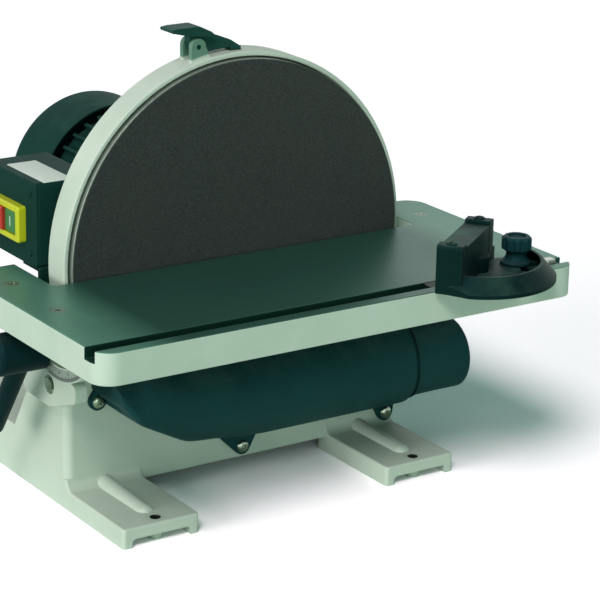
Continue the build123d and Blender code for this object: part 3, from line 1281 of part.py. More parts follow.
def plate_screws():
    """Screws of the switch plate."""
    return [
        pan_screw(
            Plane(origin=(SWITCH_LEFT, y, z), z_dir=(-1, 0, 0)),
            PLATE_SCREW_R, PLATE_SCREW_LEN, 2 * PLATE_SCREW_R, PLATE_SCREW_R,
        )
        for y, z in plate_screw_places()
    ]


def bezel_box():
    """Outer edges of the bezel: y0, y1, z0, z1."""
    y0 = SWITCH_Y + BEZEL_INSET
    z1 = SWITCH_TOP - BEZEL_DROP
    return y0, y0 + BEZEL_LEN, z1 - BEZEL_H, z1


def switch_bezel():
    """Frame round the two buttons."""
    y0, y1, z0, z1 = bezel_box()
    frame = block(SWITCH_LEFT - BEZEL_OUT, SWITCH_LEFT, y0, y1, z0, z1)
    frame = fillet(frame.edges().filter_by(Axis.X), BEZEL_RIM / 2)
    frame = fillet(frame.faces().sort_by(Axis.X)[0].edges(), BUTTON_RIM)
    rim = BEZEL_RIM
    out = SWITCH_LEFT - BEZEL_OUT
    return frame - block(out - CUT, SWITCH_LEFT + CUT, y0 + rim, y1 - rim, z0 + rim, z1 - rim)


def switch_module():
    """Switch body behind the plate."""
    y0, y1, z0, z1 = bezel_box()
    return block(PLATE_IN, PLATE_IN + MODULE_DEPTH, y0, y1, z0, z1)


def button(first, out):
    """Push button in the bezel: first or second from the front, standing out by the given amount."""
    y0 = bezel_box()[0] + BEZEL_RIM + BUTTON_GAP + (0 if first else BUTTON_LEN + BUTTON_GAP)
    inner = PLATE_IN - BUTTON_TRAVEL - SIDE_GAP
    cap = block(SWITCH_LEFT - BEZEL_OUT - out, inner, y0, y0 + BUTTON_LEN, BUTTON_Z0, BUTTON_Z1)
    return fillet(cap.faces().sort_by(Axis.X)[0].edges(), BUTTON_RIM)


def capacitor():
    """Motor capacitor inside the switch box."""
    x1 = SWITCH_RIGHT - SWITCH_WALL
    mid_y = (SWITCH_Y + SWITCH_BACK) / 2
    mid_z = (SWITCH_BOTTOM + SWITCH_TOP) / 2
    can = rod_x(CAPACITOR_R, x1 - CAPACITOR_LEN, x1, mid_y, mid_z)
    return fillet(can.edges(), BUTTON_RIM)


def gland_place():
    """Cable gland in the back wall as (x, z)."""
    return SWITCH_RIGHT - GLAND_INSET, SWITCH_BOTTOM + GLAND_RISE


def cable_gland():
    """Screwed cable gland, bored for a lead."""
    x, z = gland_place()
    nut_end = SWITCH_BACK + GLAND_NUT_LEN
    end = SWITCH_BACK + GLAND_LEN
    gland = rod_y(GLAND_NECK_R, SWITCH_BACK - SWITCH_WALL, SWITCH_BACK, x, z)
    gland += draw_y(Pos(x, z) * RegularPolygon(GLAND_R, 6), SWITCH_BACK, nut_end)
    dome = rod_y(GLAND_DOME_R, nut_end, end, x, z)
    gland += fillet(dome.edges().group_by(Axis.Y)[-1], GLAND_EDGE_R)
    return gland - rod_y(GLAND_BORE_R, SWITCH_BACK - GLAND_LEN, end + CUT, x, z)


def strap_screw_place():
    """Screw of the strap's foot in the housing as (x, z)."""
    return SWITCH_LEFT + STRAP_FOOT_W - STRAP_FOOT_INSET, SWITCH_BOTTOM - STRAP_DROP + STRAP_FOOT_H / 2


def strap_box_screws():
    """Screws between the strap's shelf and the box, by x."""
    return [SWITCH_LEFT + x for x in STRAP_SCREW_XS]


def switch_bracket():
    """Bent steel strap: shelf under the switch box and a foot on the housing's back."""
    x0 = PLATE_IN
    under = SWITCH_BOTTOM - STRAP_T
    low = SWITCH_BOTTOM - STRAP_DROP
    strap = block(x0, x0 + STRAP_SHELF_W, SWITCH_Y, SWITCH_Y + STRAP_SHELF_LEN, under, SWITCH_BOTTOM)
    strap += block(x0, x0 + STRAP_FOOT_W, SWITCH_Y, SWITCH_Y + STRAP_T, low, SWITCH_BOTTOM)
    foot_x, foot_z = strap_screw_place()
    strap -= rod_y(SMALL_SCREW_R + SEAT, SWITCH_Y - CUT, SWITCH_Y + STRAP_T + CUT, foot_x, foot_z)
    for x in strap_box_screws():
        strap -= rod_z(SMALL_SCREW_R + SEAT, under - CUT, SWITCH_BOTTOM + CUT, x, STRAP_SCREW_Y)
    return strap


def small_screw(origin, way, length):
    """One small pan head screw: origin under its head, way out of the head."""
    return pan_screw(Plane(origin=origin, z_dir=way), SMALL_SCREW_R, length, 2 * SMALL_SCREW_R, SMALL_SCREW_R)


def small_screws():
    """Screws of the strap."""
    foot_x, foot_z = strap_screw_place()
    screws = [small_screw((foot_x, SWITCH_Y + STRAP_T, foot_z), (0, 1, 0), STRAP_T + HOUSING_T)]
    for x in strap_box_screws():
        place = (x, STRAP_SCREW_Y, SWITCH_BOTTOM - STRAP_T)
        screws.append(small_screw(place, (0, 0, -1), STRAP_T + SWITCH_WALL))
    return screws


# Disc brake
def brake_lever():
    """Cast brake lever: broad paddle on a web with the pivot eye and the toe that carries the shoe."""
    paddle = rounded([(x, RIM_Z + up) for x, up in BRAKE_PADDLE], BRAKE_CORNER_R)
    x0, x1 = brake_shoe_ends()
    toe = [(x1, BRAKE_TOE_Z), (x0, BRAKE_TOE_Z)]
    top = [(x, RIM_Z + up) for x, up in BRAKE_WEB_TOP]
    under = [(x, RIM_Z + up) for x, up in BRAKE_WEB_UNDER]
    eye = [(BRAKE_PIN_X + BRAKE_EYE_R, BRAKE_PIN_Z), (BRAKE_PIN_X - BRAKE_EYE_R, BRAKE_PIN_Z)]
    web = outline(top + toe + under + eye) + Pos(BRAKE_PIN_X, BRAKE_PIN_Z) * Circle(BRAKE_EYE_R)
    lever = draw_y(paddle, BRAKE_Y - BRAKE_W / 2, BRAKE_Y + BRAKE_W / 2)
    lever += draw_y(web, BRAKE_Y - BRAKE_WEB / 2, BRAKE_Y + BRAKE_WEB / 2)
    bore_r = BRAKE_PIN_R + RUN_FIT
    return lever - rod_y(bore_r, BRAKE_Y - BRAKE_W, BRAKE_Y + BRAKE_W, BRAKE_PIN_X, BRAKE_PIN_Z)


def brake_pin():
    """Pivot pin of the brake lever."""
    reach = BRAKE_WEB / 2 + SIDE_GAP + BRAKE_EAR_T
    return rod_y(BRAKE_PIN_R, BRAKE_Y - reach, BRAKE_Y + reach, BRAKE_PIN_X, BRAKE_PIN_Z)


def brake_shoe_ends():
    """Left and right ends of the brake shoe."""
    return BRAKE_SHOE_X - BRAKE_SHOE_LEN / 2, BRAKE_SHOE_X + BRAKE_SHOE_LEN / 2


def brake_shoe():
    """Friction shoe under the lever's toe, hollowed to the disc's rim."""
    x0, x1 = brake_shoe_ends()
    y0 = BRAKE_Y - BRAKE_WEB / 2
    y1 = BRAKE_Y + BRAKE_WEB / 2
    shoe = block(x0, x1, y0, y1, AXIS_Z + DISC_R, BRAKE_TOE_Z)
    return shoe - rod_y(DISC_R + BRAKE_SHOE_GAP, y0 - CUT, y1 + CUT)


lever_right = lock_lever()
trunnion = trunnion_right()

NODES = {
    "base_casting": base_casting(),
    "disc_housing": disc_housing(),
    "housing_bolts": housing_bolts(),
    "dust_cover": dust_cover(),
    "cover_screws": cover_screws(),
    "disc_plate": disc_plate(),
    "abrasive_disc": rod_y(DISC_R, FACE_Y, PAPER_BACK),
    "hub_screws": hub_screws(),
    "motor_shaft": motor_shaft(),
    "motor_flange": motor_flange(),
    "motor_bolts": motor_bolts(),
    "motor_frame": motor_frame(),
    "motor_end_bell": motor_end_bell(),
    "fan_cowl": fan_cowl(),
    "cowl_screws": cowl_screws(),
    "front_bearing": bearing(FRONT_BEARING_Y),
    "rear_bearing": bearing(REAR_BEARING_Y),
    "stator_core": stator_core(),
    "stator_windings": stator_windings(),
    "rotor_core": rotor_core(),
    "cooling_fan": cooling_fan(),
    "table_top": table_top(),
    "table_screws": table_screws(),
    "trunnion_left": mirrored(trunnion),
    "trunnion_right": trunnion,
    "tilt_scale": tilt_scale(),
    "trunnion_bracket_left": mirrored(bracket()),
    "trunnion_bracket_right": bracket_right(),
    "trunnion_bolts": trunnion_bolts(),
    "lock_studs": lock_studs(),
    "guide_pins": guide_pins(),
    "lock_washers": lock_washers(),
    "lock_lever_left": mirrored(lever_right),
    "lock_lever_right": lever_right,
    "mitre_bar": mitre_bar(),
    "mitre_head": mitre_head(),
    "fence_screws": fence_screws(),
    "pivot_pin": pivot_pin(),
    "mitre_knob": mitre_knob(),
    "knob_stud": knob_stud(),
    "mitre_pointer": mitre_pointer(),
    "switch_box": switch_box(),
    "switch_plate": switch_plate(),
    "plate_screws": plate_screws(),
    "switch_bezel": switch_bezel(),
    "switch_module": switch_module(),
    "start_button": button(True, START_OUT),
    "stop_button": button(False, STOP_OUT),
    "capacitor": capacitor(),
    "cable_gland": cable_gland(),
    "switch_bracket": switch_bracket(),
    "small_screws": small_screws(),
    "brake_lever": brake_lever(),
    "brake_pin": brake_pin(),
    "brake_shoe": brake_shoe(),
}

os.makedirs("parts", exist_ok=True)
for name, shape in NODES.items():
    pieces = shape if isinstance(shape, list) else [shape]
    solids = [solid for piece in pieces for solid in piece.solids()]
    export_step(solids[0] if len(solids) == 1 else Compound(solids), "parts/" + name + ".step")
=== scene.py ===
import json
from math import cos, pi, radians, sin

import bmesh
import bpy
from mathutils import Matrix, Vector


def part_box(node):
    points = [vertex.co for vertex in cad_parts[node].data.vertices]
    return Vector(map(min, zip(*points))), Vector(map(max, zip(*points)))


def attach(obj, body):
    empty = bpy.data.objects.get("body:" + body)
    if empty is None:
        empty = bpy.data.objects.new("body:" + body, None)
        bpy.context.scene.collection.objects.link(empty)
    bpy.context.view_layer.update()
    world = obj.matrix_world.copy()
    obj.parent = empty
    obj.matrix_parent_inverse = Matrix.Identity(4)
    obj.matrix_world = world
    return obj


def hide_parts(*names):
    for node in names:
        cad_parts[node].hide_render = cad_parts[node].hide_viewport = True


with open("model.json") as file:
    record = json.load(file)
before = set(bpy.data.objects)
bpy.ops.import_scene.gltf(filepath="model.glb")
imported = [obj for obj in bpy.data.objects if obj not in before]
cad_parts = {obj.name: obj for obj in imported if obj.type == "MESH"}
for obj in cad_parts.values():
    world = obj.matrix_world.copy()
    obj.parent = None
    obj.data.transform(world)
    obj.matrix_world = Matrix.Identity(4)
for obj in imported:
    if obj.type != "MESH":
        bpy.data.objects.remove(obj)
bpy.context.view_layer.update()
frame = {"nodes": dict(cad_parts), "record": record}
NODES = frame["nodes"]
MM = 0.001

# Disc, guard and base, in millimetres
DISC_AXIS_Z = 196.5
DISC_R = 152.4
SHEET_RIM = 0.5
GUARD_TOP = 354.5
LUG_INNER_R = 159.4
LUG_OUTER_R = 161.2
LUG_LOW_Z = 330.0
BENCH_HOLES = [(-123.3, -149.0), (123.3, -149.0), (-123.3, 149.0), (123.3, 149.0)]
HOLE_RING_R = 8.0
HOLE_BORE_R = 4.5

# Table, tilt scale and mitre gauge
TABLE_TOP = 191.0
TABLE_SKIN = 0.45
TABLE_END_REFLECTION_FADE = (150.0, 185.0)
MITRE_SLOT_Y = -216.3
MITRE_SLOT_HALF = 6.3
MITRE_SLOT_MARGIN = 0.15
MITRE_SLOT_DEPTH = 9.4
TILT_PIVOT = (-93.0, 186.5)
TILT_SCALE_X = -178.6
TILT_ZERO_ANGLE = -94.4
TILT_LEAD_IN = 15.0
TILT_FIGURES = (0, 15, 30, 45)
TILT_FIGURE_R = 57.6
TILT_FIGURE_SIZE = 3.6
INK_THICK = 0.16
GAUGE_PIVOT = (128.7, -216.3)
GAUGE_ANGLE = 36.5
GAUGE_FLOOR = 191.4
GAUGE_BAND_LIFT = 3.6
FENCE_SCREW_X = (-51.8, 25.0)
FENCE_SCREW_Y = 6.95
FENCE_SCREW_LIFT = 39.0

# Screws: recess sizes are shares of the head's radius
SUNK_LEVEL = -0.12
RECESS_HALF = 0.13
RECESS_DEPTH = 0.36
RECESS_OVERCUT = 1.0
CROSS_REACH = 0.58
CROSS_TAPER = 0.62
SLOT_REACH = 1.2
COWL_SCREW_R = 75.0
COWL_SCREW_Y = 136.0
COWL_SCREW_ANGLES = (60, 180, 300)

# Switch and lever trim: edges with a corner radius, heights with a rim, profiles of radius and height
LABEL_PLAN = (-155.5, -130.0, -32.6, 30.0, 1.2)
LABEL_HEIGHTS = (260.2, 260.55, 0.15)
START_BAR_PLAN = (-0.8, 0.8, -4.0, 4.0, 0.7)
START_BAR_HEIGHTS = (-0.15, 0.25, 0.1)
STOP_RING = [
    (3.0, -0.15), (4.4, -0.15), (4.4, 0.15), (4.3, 0.25), (3.1, 0.25), (3.0, 0.15), (3.0, -0.15),
]
LEVER_CAP = [
    (0, 0.4), (2.6, 0.4), (2.6, 2.2), (4.6, 2.2), (5.4, 1.7),
    (5.6, 0.6), (8.4, 0.5), (8.8, 0.1), (8.8, -0.4), (0, -0.4),
]
LEVER_CAP_SEGMENTS = 24
LEVER_HUB_END = 222.05
LOCK_STUD = (-73.05, 142.51)

# Dust shroud: how its left end is drawn in, the bow over that end, and the seam of its port
SHROUD_AXIS_Z = 189.5
SHROUD_WALL_Y = -68.4
SHROUD_DEPTH = 57.0
SHROUD_DRAW_WALL = 7.0
SHROUD_DRAW_FRONT = 7.0
SHROUD_START_FADE = (-124.0, -112.0)
SHROUD_END_FADE = (-105.0, 15.0)
SHROUD_REACH_FADE = (100.0, 158.0)
SHROUD_CUTS = [
    ((1.0, 0.0, 0.0), range(-126, 24, 6)),
    ((0.0, 1.0, 0.0), range(-126, -70, 7)),
    ((0.0, 0.0, 1.0), range(30, 160, 6)),
]
SHROUD_CUT_END = 18.0
SHROUD_SHARP = 34.0
BOW_LEFT = -123.0
BOW_RIGHT = -16.0
BOW_BACK = -77.0
BOW_GRAIN = 2.2
BOW_SOFTENING = 9
BOW_SWELL = 0.7
BOW_SINK = 1.6
BOW_SINK_LENGTH = 40.0
DUCT_Y = -98.7
DUCT_Z = 81.1
SEAM_X = 141.5
SEAM_SLANT = 0.26
SEAM_R = 31.1
SEAM_BEAD = 1.0
SEAM_STEPS = 72

# Brake web: points along X and above the guard's top, half its width and its rim
BRAKE_WEB = [
    (-30.5, 8.5), (-29.0, 0.4), (-24.0, 0.9), (-12.0, 2.0),
    (-3.7, 2.2), (-3.6, 5.6), (-12.0, 8.2), (-24.0, 10.8),
]
BRAKE_WEB_HALF = 3.6
BRAKE_WEB_RIM = 0.6
BRAKE_Y = -56.0

# Camera and light; the floor's half width and the far limit are in metres
CAMERA_EYE = (-990.4, -1621.8, 756.7)
CAMERA_TURN = (-34.110, 18.205, 1.343)
CAMERA_LENS = 143.67
SENSOR_WIDTH = 36.0
CAMERA_FAR = 60.0
LIGHTS = {
    "key_light": {"way": (-0.50, -0.44, 0.74), "strength": 1.6, "colour": (1.0, 0.96, 0.92), "spread": 20.0},
    "side_light": {"way": (-0.98, -0.05, 0.13), "strength": 1.9, "colour": (1.0, 0.96, 0.92), "spread": 36.0},
    "front_light": {"way": (-0.30, -0.95, 0.02), "strength": 0.95, "colour": (0.80, 1.0, 0.88), "spread": 30.0},
}
ROOM_LIGHT = (0.50, 1.0, 0.78, 1.0)
ROOM_STRENGTH = 0.15
FLOOR_HALF = 9.0
FLOOR_BOUNCE = (0.74, 0.88, 0.79, 1.0)
FLOOR_EXTRA = (0.87, 0.70, 0.90, 1.0)


# Node helpers

def put(tree, kind, inputs=None, **settings):
    """Add a node, then set or link its inputs by name or number."""
    node = tree.nodes.new(kind)
    for name, value in settings.items():
        setattr(node, name, value)
    for name, value in (inputs or {}).items():
        if isinstance(value, bpy.types.NodeSocket):
            tree.links.new(value, node.inputs[name])
        else:
            node.inputs[name].default_value = value
    return node


def sums(tree, operation, first, second=0.0, clamp=False):
    """One Math node."""
    return put(tree, "ShaderNodeMath", {0: first, 1: second}, operation=operation, use_clamp=clamp).outputs[0]


def times(tree, first, second, clamp=False):
    """Product of two values."""
    return sums(tree, "MULTIPLY", first, second, clamp)


def blend(tree, share, first, second):
    """Mix two colours."""
    return put(tree, "ShaderNodeMix", {0: share, 6: first, 7: second}, data_type="RGBA").outputs[2]


def blend_value(tree, share, first, second):
    """Mix two values."""
    return put(tree, "ShaderNodeMix", {0: share, 2: first, 3: second}, data_type="FLOAT").outputs[0]


def steps(tree, value, low, high, from_low=0.0, from_high=1.0):
    """Spread a value from one range to another, held at both ends."""
    spread = put(tree, "ShaderNodeMapRange", {
        "Value": value, "From Min": from_low, "From Max": from_high, "To Min": low, "To Max": high,
    })
    return spread.outputs["Result"]


def own_place(tree):
    """Place of each point on the machine."""
    return put(tree, "ShaderNodeTexCoord").outputs["Object"]


def noise(tree, place, scale, detail, **more):
    """Strength of a cloudy noise."""
    return put(
        tree, "ShaderNodeTexNoise", {"Vector": place, "Scale": scale, "Detail": detail, **more},
    ).outputs["Fac"]


def stretched(tree, place, factors):
    """A place times a factor for each axis."""
    return put(tree, "ShaderNodeVectorMath", {0: place, 1: factors}, operation="MULTIPLY").outputs["Vector"]


def distance(tree, place, centre):
    """How far a place is from a centre."""
    return put(tree, "ShaderNodeVectorMath", {0: place, 1: centre}, operation="DISTANCE").outputs["Value"]


def off_disc_axis(tree, place):
    """How far a place is from the disc's axis."""
    return distance(tree, stretched(tree, place, (1.0, 0.0, 1.0)), (0.0, 0.0, DISC_AXIS_Z * MM))


def tone(red, green, blue):
    """A colour with full alpha."""
    return (red, green, blue, 1.0)


def new_group(name, inputs, outputs):
    """A shader node group with named sockets. Returns the tree, its input node and its output node."""
    tree = bpy.data.node_groups.new(name, "ShaderNodeTree")
    for label, kind, value in inputs:
        socket = tree.interface.new_socket(label, in_out="INPUT", socket_type=kind)
        socket.default_value = value
    for label, kind in outputs:
        tree.interface.new_socket(label, in_out="OUTPUT", socket_type=kind)
    return tree, tree.nodes.new("NodeGroupInput"), tree.nodes.new("NodeGroupOutput")


def give(tree, made, **values):
    """Link values to a group's own outputs."""
    for name, value in values.items():
        tree.links.new(value, made.inputs[name])


def use(tree, group, **values):
    """Place a node group with its own values. Words in a name are joined by underscores."""
    node = tree.nodes.new("ShaderNodeGroup")
    node.node_tree = group
    for name, value in values.items():
        socket = node.inputs[name.replace("_", " ")]
        if isinstance(value, bpy.types.NodeSocket):
            tree.links.new(value, socket)
        else:
            socket.default_value = value
    return node.outputs


FLOAT, COLOUR, VECTOR = "NodeSocketFloat", "NodeSocketColor", "NodeSocketVector"


# Shared effects

def soft_edge_group():
    """Rounded edges: a normal eased over each edge, and a mask of where hands and tools rub."""
    tree, given, made = new_group(
        "soft_edge", [("Radius", FLOAT, 0.001), ("Rub Gain", FLOAT, 5.0)],
        [("Normal", VECTOR), ("Rub", FLOAT)],
    )
    rounded = put(tree, "ShaderNodeBevel", {"Radius": given.outputs["Radius"]}, samples=6).outputs["Normal"]
    flat = put(tree, "ShaderNodeNewGeometry").outputs["Normal"]
    match = put(tree, "ShaderNodeVectorMath", {0: rounded, 1: flat}, operation="DOT_PRODUCT")
    turn = sums(tree, "SUBTRACT", 1.0, match.outputs["Value"])
    give(tree, made, Normal=rounded, Rub=times(tree, turn, given.outputs["Rub Gain"], clamp=True))
    return tree


def cast_skin_group():
    """Sand-cast surface under its finish: broad lumps, fine grain and a cloudy tone."""
    tree, given, made = new_group(
        "cast_skin", [("Lumps", FLOAT, 160.0), ("Grain", FLOAT, 900.0), ("Grain Share", FLOAT, 0.4)],
        [("Height", FLOAT), ("Tone", FLOAT)],
    )
    place = own_place(tree)
    lumps = noise(tree, place, given.outputs["Lumps"], 3.0)
    grain = noise(tree, place, given.outputs["Grain"], 2.0)
    clouds = noise(tree, place, 22.0, 4.0, Roughness=0.62)
    fine = times(tree, grain, given.outputs["Grain Share"])
    give(tree, made, Height=sums(tree, "ADD", lumps, fine), Tone=steps(tree, clouds, 0.0, 1.0, 0.3, 0.7))
    return tree


def settled_dust_group():
    """Patches on faces that look up: fine sanding dust, and on dark enamel also a painted sheen on the tops."""
    tree, given, made = new_group("dust_and_sheen", [("Amount", FLOAT, 0.3)], [("Mask", FLOAT)])
    where = put(tree, "ShaderNodeTexCoord")
    up = put(tree, "ShaderNodeSeparateXYZ", {"Vector": where.outputs["Normal"]}).outputs["Z"]
    patch = steps(tree, noise(tree, where.outputs["Object"], 46.0, 5.0), 0.0, 1.0, 0.42, 0.7)
    facing = steps(tree, up, 0.0, 1.0, 0.55, 0.95)
    give(tree, made, Mask=times(tree, times(tree, patch, facing), given.outputs["Amount"], clamp=True))
    return tree


def tool_lines_group():
    """Fine parallel lines of grinding, brushing or turning, set by how the lines stretch."""
    tree, given, made = new_group(
        "tool_lines", [("Stretch", VECTOR, (6.0, 900.0, 900.0))], [("Tone", FLOAT), ("Height", FLOAT)],
    )
    place = own_place(tree)
    lines = noise(tree, stretched(tree, place, given.outputs["Stretch"]), 1.0, 3.0)
    broad = noise(tree, place, 14.0, 3.0)
    mixed = sums(tree, "ADD", times(tree, lines, 0.6), times(tree, broad, 0.4))
    give(tree, made, Tone=steps(tree, mixed, 0.0, 1.0, 0.3, 0.7), Height=lines)
    return tree


def pale_coat_group(cast_skin, dust_and_sheen):
    """Pale grey-green paint over castings: thin on edges, cloudy on faces, a little dust on top."""
    tree, given, made = new_group(
        "pale_coat", [("Rub", FLOAT, 0.0), ("Dust", FLOAT, 0.25)],
        [("Color", COLOUR), ("Roughness", FLOAT), ("Height", FLOAT)],
    )
    skin = use(tree, cast_skin, Lumps=190.0, Grain=950.0, Grain_Share=0.35)
    dust = use(tree, dust_and_sheen, Amount=given.outputs["Dust"])
    specks = put(tree, "ShaderNodeTexVoronoi", {"Vector": own_place(tree), "Scale": 130.0, "Randomness": 1.0})
    pits = steps(tree, specks.outputs["Distance"], 1.0, 0.0, 0.03, 0.07)
    paint = blend(tree, skin["Tone"], PALE_PAINT_LOW, PALE_PAINT_HIGH)
    paint = blend(tree, times(tree, pits, 0.35), paint, PALE_PAINT_PIT)
    paint = blend(tree, times(tree, given.outputs["Rub"], 0.55), paint, PALE_PAINT_EDGE)
    paint = blend(tree, dust["Mask"], paint, DUST)
    rough = sums(tree, "ADD", steps(tree, skin["Tone"], 0.40, 0.52), times(tree, dust["Mask"], 0.3))
    height = sums(tree, "SUBTRACT", skin["Height"], times(tree, pits, 0.4))
    give(tree, made, Color=paint, Roughness=rough, Height=height)
    return tree


# Colours
PALE_PAINT_LOW = tone(0.525, 0.605, 0.540)
PALE_PAINT_HIGH = tone(0.575, 0.650, 0.590)
PALE_PAINT_EDGE = tone(0.64, 0.715, 0.655)
PALE_PAINT_PIT = tone(0.33, 0.440, 0.380)
WORN_RING = tone(0.36, 0.46, 0.40)
# Painted shade: the walls of the bench bolt holes
BORE_PAINTED_SHADE = tone(0.008, 0.013, 0.011)
# Painted shade: the brake lugs, in the green that the pale paint shows in shade
LUG_PAINTED_SHADE = tone(0.11, 0.23, 0.175)
DUST = tone(0.50, 0.520, 0.450)
# Dust and painted sheen on the tops of dark enamel
DARK_PAINT_DUST_SHEEN = tone(0.10, 0.22, 0.18)
FILM_LOW = tone(0.0145, 0.050, 0.039)
FILM_HIGH = tone(0.0180, 0.059, 0.047)
FILM_STAIN = tone(0.011, 0.039, 0.030)
# Painted reflection: lighter film towards the table's ends
FILM_END_REFLECTION = tone(0.095, 0.230, 0.178)
# Painted shade: darker film in the mitre slot
FILM_SLOT_SHADE = tone(0.006, 0.022, 0.018)
FILM_EDGE = tone(0.12, 0.22, 0.18)
FILM_TINT = tone(0.12, 1.0, 0.62)
GRIT_LOW = tone(0.017, 0.023, 0.022)
GRIT_HIGH = tone(0.036, 0.045, 0.043)
GRIT_BRIGHT = tone(0.074, 0.079, 0.073)
GRIT_CLUMP = tone(0.014, 0.018, 0.018)
GRIT_CLOUD = tone(0.041, 0.045, 0.042)
GRIT_RIM = tone(0.10, 0.13, 0.115)
SHEET_LOW = tone(0.12, 0.12, 0.13)
SHEET_HIGH = tone(0.30, 0.30, 0.31)
SHEET_RUST = tone(0.20, 0.15, 0.11)
WIRE_LOW = tone(0.20, 0.08, 0.035)
WIRE_HIGH = tone(0.55, 0.26, 0.11)
LINING_LOW = tone(0.10, 0.06, 0.035)
LINING_HIGH = tone(0.34, 0.23, 0.14)
TEAL_TINT = tone(0.28, 0.92, 1.0)
WHITE = tone(1.0, 1.0, 1.0)

# Groups in use
SOFT_EDGE = soft_edge_group()
CAST_SKIN = cast_skin_group()
DUST_AND_SHEEN = settled_dust_group()
TOOL_LINES = tool_lines_group()
PALE_COAT = pale_coat_group(CAST_SKIN, DUST_AND_SHEEN)


# Finishes

def start_finish(name, **plain):
    """A material with one Principled shader; plain values go on its own sockets."""
    material = bpy.data.materials.new(name)
    material.use_nodes = True
    tree = material.node_tree
    tree.nodes.clear()
    shader = put(tree, "ShaderNodeBsdfPrincipled")
    for socket, value in plain.items():
        shader.inputs[socket.replace("_", " ")].default_value = value
    put(tree, "ShaderNodeOutputMaterial", {"Surface": shader.outputs["BSDF"]})
    return material, tree, shader


def join_finish(tree, shader, edge, height, depth, strength, **links):
    """Link colours and masks to the shader, and the relief, over any rounded edge, to its normal."""
    for socket, value in links.items():
        tree.links.new(value, shader.inputs[socket.replace("_", " ")])
    relief = put(tree, "ShaderNodeBump", {"Height": height, "Distance": depth, "Strength": strength})
    if edge is not None:
        tree.links.new(edge, relief.inputs["Normal"])
    tree.links.new(relief.outputs["Normal"], shader.inputs["Normal"])


def pale_paint():
    """Paint of the castings: worn ring and painted shade down each bench bolt hole, and painted shade in dark
    green on the brake lugs.
    """
    material, tree, shader = start_finish("pale_paint", Specular_IOR_Level=0.35)
    edge = use(tree, SOFT_EDGE, Radius=0.0008, Rub_Gain=4.0)
    coat = use(tree, PALE_COAT, Rub=edge["Rub"], Dust=0.25)
    place = own_place(tree)
    plan = stretched(tree, place, (1.0, 1.0, 0.0))
    ring = 0.0
    bore_shade = 0.0
    for x, y in BENCH_HOLES:
        off_hole = distance(tree, plan, (x * MM, y * MM, 0.0))
        ring = sums(tree, "ADD", ring, sums(tree, "LESS_THAN", off_hole, HOLE_RING_R * MM), clamp=True)
        bore_shade = sums(tree, "ADD", bore_shade, sums(tree, "LESS_THAN", off_hole, HOLE_BORE_R * MM), clamp=True)
    colour = blend(tree, times(tree, ring, 0.3), coat["Color"], WORN_RING)
    # Painted shade: the wall of each bench bolt hole is darkened as if in shade
    colour = blend(tree, bore_shade, colour, BORE_PAINTED_SHADE)
    # Painted shade: the brake lugs above the guard's rim take the pale paint's shaded green
    far = steps(tree, off_disc_axis(tree, place), 0.0, 1.0, LUG_INNER_R * MM, LUG_OUTER_R * MM)
    high = put(tree, "ShaderNodeSeparateXYZ", {"Vector": place}).outputs["Z"]
    lug_shade = times(tree, far, sums(tree, "GREATER_THAN", high, LUG_LOW_Z * MM))
    colour = blend(tree, lug_shade, colour, LUG_PAINTED_SHADE)
    height = sums(tree, "SUBTRACT", coat["Height"], times(tree, ring, 1.5))
    join_finish(
        tree, shader, edge["Normal"], height, depth=0.00012, strength=0.5,
        Base_Color=colour, Roughness=coat["Roughness"],
    )
    return material


def table_finish():
    """Dark green film on the ground top, with a painted reflection lightening its ends and painted shade in the
    slot; painted edges and underside.
    """
    material, tree, shader = start_finish("table_finish", Specular_IOR_Level=0.65, Specular_Tint=FILM_TINT)
    edge = use(tree, SOFT_EDGE, Radius=0.0008, Rub_Gain=3.0)
    coat = use(tree, PALE_COAT, Rub=edge["Rub"], Dust=0.1)
    lines = use(tree, TOOL_LINES, Stretch=(5.0, 1100.0, 40.0))
    place = own_place(tree)
    axes = put(tree, "ShaderNodeSeparateXYZ", {"Vector": place}).outputs
    top = sums(tree, "GREATER_THAN", axes["Z"], (TABLE_TOP - TABLE_SKIN) * MM)
    off_slot = sums(tree, "ABSOLUTE", sums(tree, "SUBTRACT", axes["Y"], MITRE_SLOT_Y * MM))
    slot = sums(tree, "LESS_THAN", off_slot, (MITRE_SLOT_HALF + MITRE_SLOT_MARGIN) * MM)
    slot = times(tree, slot, sums(tree, "GREATER_THAN", axes["Z"], (TABLE_TOP - MITRE_SLOT_DEPTH) * MM))
    bare = sums(tree, "MAXIMUM", top, slot)
    patch = steps(tree, noise(tree, place, 17.0, 6.0, Roughness=0.6), 0.0, 1.0, 0.35, 0.72)
    # Painted reflection: the film grows lighter towards both ends of the table, in patches
    end = steps(tree, sums(tree, "ABSOLUTE", axes["X"]), 0.0, 1.0, *[MM * x for x in TABLE_END_REFLECTION_FADE])
    film = blend(tree, lines["Tone"], FILM_LOW, FILM_HIGH)
    film = blend(tree, times(tree, patch, 0.3), film, FILM_STAIN)
    film = blend(tree, times(tree, end, steps(tree, patch, 0.8, 1.0)), film, FILM_END_REFLECTION)
    # Painted shade: the mitre slot is darkened as if in shade
    film = blend(tree, slot, film, FILM_SLOT_SHADE)
    film = blend(tree, times(tree, edge["Rub"], 0.5), film, FILM_EDGE)
    sheen = sums(tree, "ADD", steps(tree, lines["Tone"], 0.33, 0.37), times(tree, patch, 0.05))
    join_finish(
        tree, shader, edge["Normal"], blend_value(tree, bare, coat["Height"], lines["Height"]),
        depth=0.00006, strength=0.12, Base_Color=blend(tree, bare, coat["Color"], film),
        Roughness=blend_value(tree, bare, coat["Roughness"], sheen),
    )
    return material


